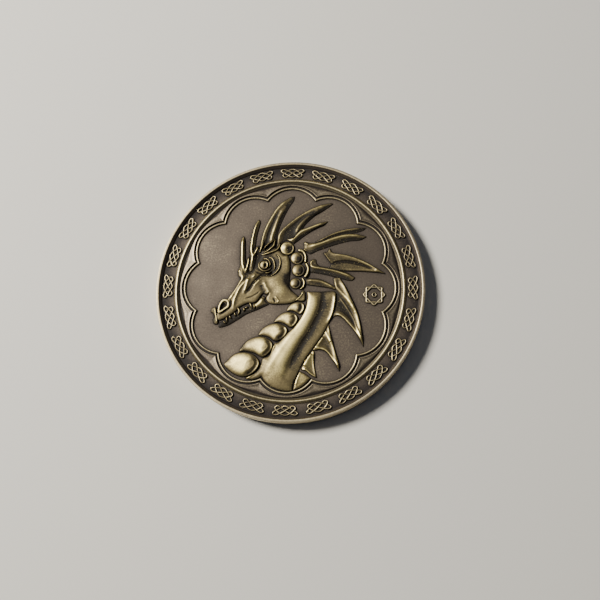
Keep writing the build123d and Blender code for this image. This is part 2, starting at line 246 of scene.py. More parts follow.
# A piece of relief on the field: a fine square grid cut to the outline, with its height, walls and a flat underside.
# The crest is the height over its blurred self, plus a share of the height, plus the painted shading.
def reliefPiece(name, spec, nodes, slotName, material):
    step = spec.get("step", relief["step"])
    lines = [outlineOf(loop) * art for loop in spec["loops"]]
    every = np.vstack(lines)
    low, high = every.min(0) - 2 * step, every.max(0) + 2 * step
    x = np.arange(low[0], high[0], step)
    y = np.arange(low[1], high[1], step)
    kept = cellsInside(x, y, lines, step)
    cells = np.zeros((len(x), len(y)), int)
    cells[:-1, :-1] += kept
    cells[1:, :-1] += kept
    cells[:-1, 1:] += kept
    cells[1:, 1:] += kept
    used = cells > 0
    edge = used & (cells < 4)
    spots = relaxedGrid(x, y, used, edge, lines)[used]

    gaps = np.where(edge[used], 0, nearest(spots, lines)[0])
    even = np.zeros(used.shape)
    even[used] = gaps
    even = blurred(even, used, relief["gapBlur"])[used]
    gaps = gaps + (even - gaps) * np.clip(gaps / relief["evenRun"] - relief["evenLag"], 0, 1)
    drawn = spots / art
    height = reliefHeight(spec, drawn, gaps)

    z = np.zeros(used.shape)
    z[used] = height
    crest = polish["detail"] * (z - blurred(z, used, polish["blur"]))[used]
    crest = np.clip(crest, -polish["most"], polish["most"]) + polish["height"] * (height - polish["level"])
    # Painted shading: falls of the crest value paint shade and shadow, rises paint light
    for points, width, amount in spec.get("paintedShading", []):
        crest = crest + stroke(drawn, points, width, amount)

    count = len(spots)
    index = np.full(used.shape, -1)
    index[used] = np.arange(count)
    i, j = np.nonzero(kept)
    corners = [index[i, j], index[i + 1, j], index[i + 1, j + 1], index[i, j + 1]]
    top = np.stack(corners, 1)
    padded = np.pad(kept, 1)
    walls = []
    for (di, dj), a, b in (((0, -1), 0, 1), ((1, 0), 1, 2), ((0, 1), 2, 3), ((-1, 0), 3, 0)):
        bare = ~padded[i + 1 + di, j + 1 + dj]
        start, end = corners[a][bare], corners[b][bare]
        walls.append(np.stack([end, start, start + count, end + count], 1))
    quads = np.vstack([top, top[:, ::-1] + count] + walls)
    upper = np.column_stack([spots, fieldLevel + height])
    lower = np.column_stack([spots, np.full(count, fieldLevel)])
    crest = np.concatenate([crest, np.full(count, polish["underside"])])
    makePiece(name, np.vstack([upper, lower]), quads, crest, nodes, slotName, material)


# Closed half-round strand along a line: the section is half an ellipse over a flat base, scaled along the line by the
# taper and raised by the lift
def strandMesh(line, width, height, base, taper=None, sides=9, lift=None, closed=False):
    if closed:
        ahead = np.roll(line, -1, 0) - np.roll(line, 1, 0)
    else:
        ahead = np.gradient(line, axis=0)
    ahead = ahead / np.maximum(np.linalg.norm(ahead, axis=1, keepdims=True), 1e-9)
    side = np.stack([-ahead[:, 1], ahead[:, 0]], 1)
    angle = np.linspace(0, np.pi, sides)
    scale = np.ones(len(line)) if taper is None else taper
    rise = np.zeros(len(line)) if lift is None else lift
    across = np.cos(angle)[:, None] * (width / 2) * scale[None, :]
    up = np.sin(angle)[:, None] * height * scale[None, :]**0.5
    xy = line[None, :, :] + across[..., None] * side[None, :, :]
    z = base + up + rise[None, :]
    z[0], z[-1] = base, base
    points = np.concatenate([xy, z[..., None]], -1)
    crest = np.broadcast_to((np.sin(angle)**2 - 0.5)[:, None] * 0.6, z.shape)
    rings, along = z.shape
    k = np.arange(rings)[:, None]
    i = np.arange(along if closed else along - 1)[None, :]
    after = (i + 1) % along
    nextRing = (k + 1) % rings
    corners = [k * along + after, nextRing * along + after, nextRing * along + i, k * along + i]
    return points.reshape(-1, 3), np.stack(corners, -1).reshape(-1, 4), crest.ravel()


# Several closed meshes as one
def joined(parts):
    points, quads, crests, count = [], [], [], 0
    for p, q, c in parts:
        points.append(p)
        quads.append(q + count)
        crests.append(c)
        count += len(p)
    return np.vstack(points), np.vstack(quads), np.concatenate(crests)


# Closed section of (radius, height), turned round the coin's axis
def turnedMesh(profile, around):
    angle = np.arange(around) * 2 * np.pi / around
    r, z = profile[:, :1], np.broadcast_to(profile[:, 1:], (len(profile), around))
    points = np.stack([r * np.cos(angle), r * np.sin(angle), z], -1)
    return points.reshape(-1, 3), ringQuads(len(profile), around)


# Corners of a section rounded: each is replaced by a short arc of a quadratic curve between its two sides
def rounded(section, radius, steps=5):
    out = []
    p = np.asarray(section, float)
    for before, here, after in zip(np.roll(p, 1, 0), p, np.roll(p, -1, 0)):
        sides = [max(np.linalg.norm(q - here), 1e-9) for q in (before, after)]
        one, two = (here + (q - here) * min(radius, 0.45 * side) / side for q, side in zip((before, after), sides))
        u = np.linspace(0, 1, steps)[:, None]
        out.append((1 - u)**2 * one + 2 * u * (1 - u) * here + u**2 * two)
    return np.vstack(out)


# Crest along a section: how far each place stands out, along its normal, from the mean of the places near it, each
# weighted by a bell curve of its distance
def sectionCrest(profile, reach=0.35):
    gap = np.linalg.norm(profile[:, None] - profile[None], axis=2)
    weight = np.exp(-(gap / reach)**2)
    mean = (weight[..., None] * profile[None]).sum(1) / weight.sum(1, keepdims=True)
    ahead = np.roll(profile, -1, 0) - np.roll(profile, 1, 0)
    normal = np.stack([ahead[:, 1], -ahead[:, 0]], 1) / np.maximum(np.linalg.norm(ahead, axis=1, keepdims=True), 1e-9)
    return np.clip(polish["detail"] * ((profile - mean) * normal).sum(1), -polish["most"], polish["most"])


# How wear, painted shade and painted glints turn into colour, metal and gloss: noise scales per metre, and the parts
# they play
lookOfWearAndShade = {
    "cloud": 260, "broad": 48, "grain": 3800, "speck": 5200, "broadPart": 1.4, "hollowPart": 1.3,
    "glintFrom": 0.64, "glintGain": 8.0, "glintPart": 0.6, "metalFrom": 0.1, "metalGain": 1.6,
    "roughFrom": 0.55, "roughFall": 0.14, "roughGrain": 0.12, "bumpCloud": 0.5, "bumpGrain": 0.35,
    "bumpStrength": 0.5, "bumpDepth": 0.014, "specular": 0.2,
}


# Brass that has been darkened and rubbed, with painted shade and glints. The value of wear and shade is the crest value
# with its painted shading, plus the rub, plus mottle and fleck noise, less the darkening of hollows, which is partly
# patina and partly painted shade. It runs from the dark colour through the middle one to the bright one, with painted
# glints over it.
def brassWearAndShadeGroup():
    group = bpy.data.node_groups.new("brassWearAndShade", "ShaderNodeTree")
    for name, kind, value in (
        ("Dark", "NodeSocketColor", (0.02, 0.016, 0.012, 1)),
        ("Middle", "NodeSocketColor", (0.2, 0.17, 0.11, 1)),
        ("Bright", "NodeSocketColor", (0.75, 0.66, 0.42, 1)),
        ("Rub", "NodeSocketFloat", 0.5),
        ("Hollow Reach", "NodeSocketFloat", 0.0006),
        ("Mottle", "NodeSocketFloat", 0.3),
        ("Fleck", "NodeSocketFloat", 0.5),
    ):
        group.interface.new_socket(name=name, in_out="INPUT", socket_type=kind).default_value = value
    group.interface.new_socket(name="Color", in_out="OUTPUT", socket_type="NodeSocketColor")
    for name in ("Metallic", "Roughness", "Height"):
        group.interface.new_socket(name=name, in_out="OUTPUT", socket_type="NodeSocketFloat")
    nodes, links = group.nodes, group.links
    given = nodes.new("NodeGroupInput").outputs
    out = nodes.new("NodeGroupOutput").inputs
    look = lookOfWearAndShade

    def calc(kind, a, b, clamp=False):
        node = nodes.new("ShaderNodeMath")
        node.operation = kind
        node.use_clamp = clamp
        for entry, value in zip(node.inputs, (a, b)):
            if isinstance(value, (int, float)):
                entry.default_value = value
            else:
                links.new(value, entry)
        return node.outputs[0]

    def noise(scale, detail, roughness=0.55):
        node = nodes.new("ShaderNodeTexNoise")
        node.inputs["Scale"].default_value = scale
        node.inputs["Detail"].default_value = detail
        node.inputs["Roughness"].default_value = roughness
        links.new(place.outputs["Object"], node.inputs["Vector"])
        return node.outputs["Fac"]

    def centred(value):
        return calc("SUBTRACT", value, 0.5)

    def mix(fac, a, b):
        node = nodes.new("ShaderNodeMix")
        node.data_type = "RGBA"
        for entry, value in ((0, fac), (6, a), (7, b)):
            links.new(value, node.inputs[entry])
        return node.outputs[2]

    place = nodes.new("ShaderNodeTexCoord")
    crest = nodes.new("ShaderNodeAttribute")
    crest.attribute_name = "crest"
    # Ambient occlusion darkens hollows and the field beside the relief: partly the patina in them, partly painted shade
    hollow = nodes.new("ShaderNodeAmbientOcclusion")
    hollow.samples = 8
    links.new(given["Hollow Reach"], hollow.inputs["Distance"])
    cloud = noise(look["cloud"], 5)
    broad = noise(look["broad"], 2)
    grain = noise(look["grain"], 3)
    speck = noise(look["speck"], 2, 0.7)
    wornAndShade = calc("ADD", crest.outputs["Fac"], given["Rub"])
    patches = calc("ADD", centred(cloud), calc("MULTIPLY", centred(broad), look["broadPart"]))
    stainAndShade = calc("MULTIPLY", patches, given["Mottle"])
    fleck = calc("MULTIPLY", centred(grain), given["Fleck"])
    wornAndShade = calc("ADD", calc("ADD", wornAndShade, stainAndShade), fleck)
    shade = calc("SUBTRACT", 1.0, hollow.outputs["AO"])
    wornAndShade = calc("SUBTRACT", wornAndShade, calc("MULTIPLY", shade, look["hollowPart"]))
    low = calc("MULTIPLY", wornAndShade, 2.0, clamp=True)
    high = calc("SUBTRACT", calc("MULTIPLY", wornAndShade, 2.0), 1.0, clamp=True)
    colour = mix(high, mix(low, given["Dark"], given["Middle"]), given["Bright"])
    # Painted glints: where the fine speck noise is high, the colour is pulled to the bright one
    glint = calc("MULTIPLY", calc("SUBTRACT", speck, look["glintFrom"]), look["glintGain"], clamp=True)
    glint = calc("MULTIPLY", glint, calc("MULTIPLY", given["Mottle"], look["glintPart"]))
    links.new(mix(glint, colour, given["Bright"]), out["Color"])
    metal = calc("ADD", look["metalFrom"], calc("MULTIPLY", wornAndShade, look["metalGain"]), clamp=True)
    links.new(metal, out["Metallic"])
    rough = calc("SUBTRACT", look["roughFrom"], calc("MULTIPLY", wornAndShade, look["roughFall"]), clamp=True)
    rough = calc("ADD", rough, calc("MULTIPLY", centred(grain), look["roughGrain"]))
    links.new(rough, out["Roughness"])
    bumps = calc("MULTIPLY", cloud, look["bumpCloud"]), calc("MULTIPLY", grain, look["bumpGrain"])
    links.new(calc("ADD", *bumps), out["Height"])
    return group


brassWearAndShade = brassWearAndShadeGroup()


# A material of aged brass with painted shade and glints, in the given colours and amounts. The hollow reach is in
# metres.
def brassFinish(name, values):
    material = bpy.data.materials.new(name)
    material.use_nodes = True
    nodes, links = material.node_tree.nodes, material.node_tree.links
    shader = nodes["Principled BSDF"]
    shader.inputs["Specular IOR Level"].default_value = lookOfWearAndShade["specular"]
    aged = nodes.new("ShaderNodeGroup")
    aged.node_tree = brassWearAndShade
    for key, value in values.items():
        aged.inputs[key].default_value = value
    bump = nodes.new("ShaderNodeBump")
    bump.inputs["Strength"].default_value = lookOfWearAndShade["bumpStrength"]
    bump.inputs["Distance"].default_value = lookOfWearAndShade["bumpDepth"] * mm
    links.new(aged.outputs["Height"], bump.inputs["Height"])
    links.new(bump.outputs["Normal"], shader.inputs["Normal"])
    links.new(aged.outputs["Color"], shader.inputs["Base Color"])
    links.new(aged.outputs["Metallic"], shader.inputs["Metallic"])
    links.new(aged.outputs["Roughness"], shader.inputs["Roughness"])
    return material


# The field's long hollow reach darkens it beside the relief: partly patina, partly painted shade
fieldFinish = brassFinish("darkenedFieldWithPaintedShade", {
    "Dark": (0.018, 0.014, 0.014, 1),
    "Middle": (0.132, 0.109, 0.09, 1),
    "Bright": (0.66, 0.56, 0.36, 1),
    "Rub": 0.45, "Hollow Reach": 0.0015, "Mottle": 0.28, "Fleck": 0.42,
})
borderFinish = brassFinish("rubbedBorderWithPaintedShade", {
    "Dark": (0.018, 0.014, 0.012, 1),
    "Middle": (0.20, 0.168, 0.115, 1),
    "Bright": (0.84, 0.71, 0.41, 1),
    "Rub": 0.46, "Hollow Reach": 0.0005, "Mottle": 0.3, "Fleck": 0.6,
})
dragonFinish = brassFinish("rubbedReliefWithPaintedShade", {
    "Dark": (0.015, 0.012, 0.009, 1),
    "Middle": (0.225, 0.182, 0.095, 1),
    "Bright": (1.0, 0.83, 0.36, 1),
    "Rub": 0.44, "Hollow Reach": 0.0006, "Mottle": 0.7, "Fleck": 0.5,
})
print("finishes made")


body = {
    "landWidth": 0.42, "ledgeWidth": 0.12, "slopeWidth": 0.5, "soften": 0.09, "channelStep": 0.4,
    "fieldRadii": (9.0, 1.0), "plainWithin": 0.3, "landCrest": 0.12, "landDepth": 0.04, "around": 720,
}
channelOuter = coinRadius - body["landWidth"] - body["slopeWidth"]


# Coin body: half a section runs from the middle of the edge over the rim and its ledge to the channel and the field.
# It is mirrored for the reverse and turned round the axis.
def makeBody():
    half = coinHeight / 2
    depth = coinHeight - channelLevel
    ledgeZ = channelLevel - half + depth / 3
    channelZ, fieldZ = channelLevel - half, fieldLevel - half
    upper = [
        (coinRadius, 0.0),
        (coinRadius, half),
        (coinRadius - body["landWidth"], half),
        (channelOuter + 2 * body["ledgeWidth"], ledgeZ + depth / 6),
        (channelOuter + body["ledgeWidth"], ledgeZ),
        (channelOuter, channelZ),
        (channelInner - body["channelStep"], channelZ),
        (plateOuter, fieldZ),
        *((r, fieldZ) for r in body["fieldRadii"]),
    ]
    arcPoints = 5
    soft = rounded(upper, body["soften"], arcPoints)[arcPoints:-arcPoints]
    upperLine = np.vstack([soft, [(body["fieldRadii"][1], fieldZ)], [(0.0, fieldZ)]])
    profile = np.vstack([upperLine, upperLine[::-1] * [1, -1]])
    crest = sectionCrest(profile)
    crest[profile[:, 0] < channelInner - body["plainWithin"]] = 0
    crest += body["landCrest"] * (np.abs(profile[:, 1]) > half - body["landDepth"])
    points, quads = turnedMesh(profile + [0, half], body["around"])
    crest = np.repeat(crest, body["around"])
    makePiece("coinBody", points, quads, crest, ["coin_body"], "struck_body", fieldFinish)


makeBody()
print("body made")

ringSpec = {
    "outerSlope": 0.4, "crestWidth": 0.2, "height": 0.33, "innerSlope": 0.22, "innerHeight": 0.1, "foot": 0.06,
    "footIn": 0.02, "soften": 0.1,
}
frameSpec = {
    "lobes": 12, "arcCentre": 12.45, "arcRadius": 5.05, "beadWidth": 0.38, "beadHeight": 0.28, "beadFoot": 0.08,
    "beadReach": 0.2, "groove": 0.22, "plateHeight": 0.22, "lip": 0.06, "lipPart": 0.22, "lipStretch": 1.4,
    "plateIn": 0.02,
}
knotSpec = {
    "count": 24, "halfLength": 1.78, "halfHeight": 0.72, "strand": 0.29, "height": 0.24, "spread": 0.12,
    "straight": 0.93, "weave": 0.035, "points": 216,
}
borderAround = 1800


# Radius of a lobed line at each angle: the far crossing with its lobe's circle, whose radius has the offset added
def lobedRadius(angle, offset):
    part = 2 * np.pi / frameSpec["lobes"]
    phi = (angle - np.pi / 2 + part / 2) % part - part / 2
    centre = frameSpec["arcCentre"] * art
    radius = frameSpec["arcRadius"] * art + offset
    return centre * np.cos(phi) + np.sqrt(radius**2 - (centre * np.sin(phi))**2)


# Radius of the spandrel plate: a fixed run beyond the frame for its lip, then a part of the way to its outer edge
def plateRadius(angle, at):
    line = lobedRadius(angle, frameSpec["beadWidth"] / 2 + frameSpec["groove"])
    lip, stretch = frameSpec["lipPart"], frameSpec["lipStretch"]
    past = line + lip * stretch
    outer = plateOuter - frameSpec["plateIn"]
    return np.where(at < lip, line + at * stretch, past + (outer - past) * (at - lip) / (1 - lip))


# Section of (place across, height), carried round the coin on the radius that the function gives for the place
def lobedMesh(section, radiusOf):
    angle = np.pi / 2 + np.arange(borderAround) * 2 * np.pi / borderAround
    r = np.stack([radiusOf(angle, at) for at, _ in section])
    z = np.broadcast_to(np.array([h for _, h in section])[:, None], r.shape)
    points = np.stack([r * np.cos(angle), r * np.sin(angle), z], -1).reshape(-1, 3)
    return points, ringQuads(len(section), borderAround)


# The border of one face: the ring between channel and field, the lobed bead, the plate outside it, and the knots
def makeBorder(sideName, turn):
    def add(words, points, quads, crest, material=borderFinish):
        name = sideName + "".join(word.capitalize() for word in words)
        node = "_".join([sideName, *words])
        makePiece(name, turn(points), quads, crest, [node], "border_relief", material)

    inner, outer = plateOuter + ringSpec["footIn"], channelInner
    top = outer - ringSpec["outerSlope"]
    topInner = top - ringSpec["crestWidth"]
    profile = rounded([
        (outer, channelLevel),
        (top, channelLevel + ringSpec["height"]),
        (topInner, channelLevel + ringSpec["height"]),
        (topInner - ringSpec["innerSlope"], channelLevel + ringSpec["innerHeight"]),
        (inner, fieldLevel + ringSpec["foot"]),
        (inner, fieldLevel),
        (outer, fieldLevel),
    ], ringSpec["soften"])
    add(["ring"], *turnedMesh(profile, borderAround), np.repeat(sectionCrest(profile), borderAround))

    w, h, foot = frameSpec["beadWidth"] / 2, frameSpec["beadHeight"], frameSpec["beadFoot"]
    half = np.linspace(0, np.pi, 11)
    bead = np.stack([w * np.cos(half), fieldLevel + foot + (h - foot) * np.sin(half)], 1)
    bead = np.vstack([bead, [(-w, fieldLevel), (w, fieldLevel)]])
    crest = sectionCrest(bead, frameSpec["beadReach"])
    add(["frame", "bead"], *lobedMesh(bead, lobedRadius), np.repeat(crest, borderAround))

    tall, lip = frameSpec["plateHeight"], frameSpec["lip"]
    plate = [
        # place across, height, crest
        (0.0, 0.0, -0.4), (0.02, tall * 0.7, -0.1), (0.06, tall + lip, 0.25), (0.12, tall + lip * 0.9, 0.2),
        (0.22, tall, 0.12), (0.5, tall, 0.12), (0.72, tall - 0.01, 0.12), (0.8, tall - 0.06, 0.1),
        (0.9, 0.05, -0.2), (1.0, 0.02, -0.4), (1.0, 0.0, -0.4),
    ]
    points, quads = lobedMesh([(at, fieldLevel + height) for at, height, _ in plate], plateRadius)
    crest = np.repeat([crest for _, _, crest in plate], borderAround)
    add(["spandrel", "plate"], points, quads[:, ::-1], crest, fieldFinish)
    add(["border", "knots"], *knotMesh())


# Wave between a sine and a triangle: the arcsine of a share of the sine
def straightWave(angle):
    share = knotSpec["straight"]
    return np.arcsin(share * np.sin(angle)) / np.arcsin(share)


# Plaited knots round the channel: a figure of two waves along by three across, wider towards the rim, whose strand
# rises and falls as it passes over and under itself
def knotMesh():
    t = np.arange(knotSpec["points"]) * 2 * np.pi / knotSpec["points"]
    y = knotSpec["halfHeight"] * straightWave(3 * t)
    x = knotSpec["halfLength"] * straightWave(2 * t) * (1 + knotSpec["spread"] * y / knotSpec["halfHeight"])
    lift = knotSpec["weave"] * np.cos(7 * t)
    middle = (channelOuter + channelInner) / 2
    r = middle + y
    parts = []
    for k in range(knotSpec["count"]):
        angle = np.pi / 2 - x / middle + 2 * np.pi * k / knotSpec["count"]
        line = np.stack([r * np.cos(angle), r * np.sin(angle)], 1)
        strand, height = knotSpec["strand"], knotSpec["height"]
        parts.append(strandMesh(line, strand, height, channelLevel, sides=7, lift=lift, closed=True))
    return joined(parts)


makeBorder("obverse", lambda points: points)
makeBorder("reverse", toReverse)
print("borders made")


# Points on an arc, at equal steps of its angle in degrees
def arc(x, y, r, start, end, count=6):
    a = np.radians(np.linspace(start, end, count))
    return np.stack([x + r * np.cos(a), y + r * np.sin(a)], 1)


# One closed run of points round a circle
def circle(x, y, r, count=16):
    return [arc(x, y, r, 0, 360 - 360 / count, count)]


# Round scale of the cheek: a dome, with a groove and a thin rim on arcs round its right side, and painted shade
# over its right part
def roundScale(x, y, r, stainAndShade):
    return {
        "loops": [circle(x, y, r)], "rise": (0.06, 0.5, 1.05),
        "strokes": [(arc(x, y, r - 0.36, 60, -110), 0.14, -0.12), (arc(x, y, r - 0.14, 70, -120), 0.09, 0.04)],
        "paintedShading": [stainAndShade],
    }


# Plate of the throat: a dome that leans, with a groove inside its right edge and a thin rim along that edge, and
# painted shade as given, mostly over its right part
def throatPlate(outline, lift, shoulder, groove, rim, paintedShading, lean=(0.9, -0.3)):
    return {
        "loops": [[outline]], "rise": (0.1, lift, shoulder), "lean": lean,
        "strokes": [(groove, 0.3, -0.12), (rim, 0.11, 0.03)],
        "paintedShading": paintedShading,
    }
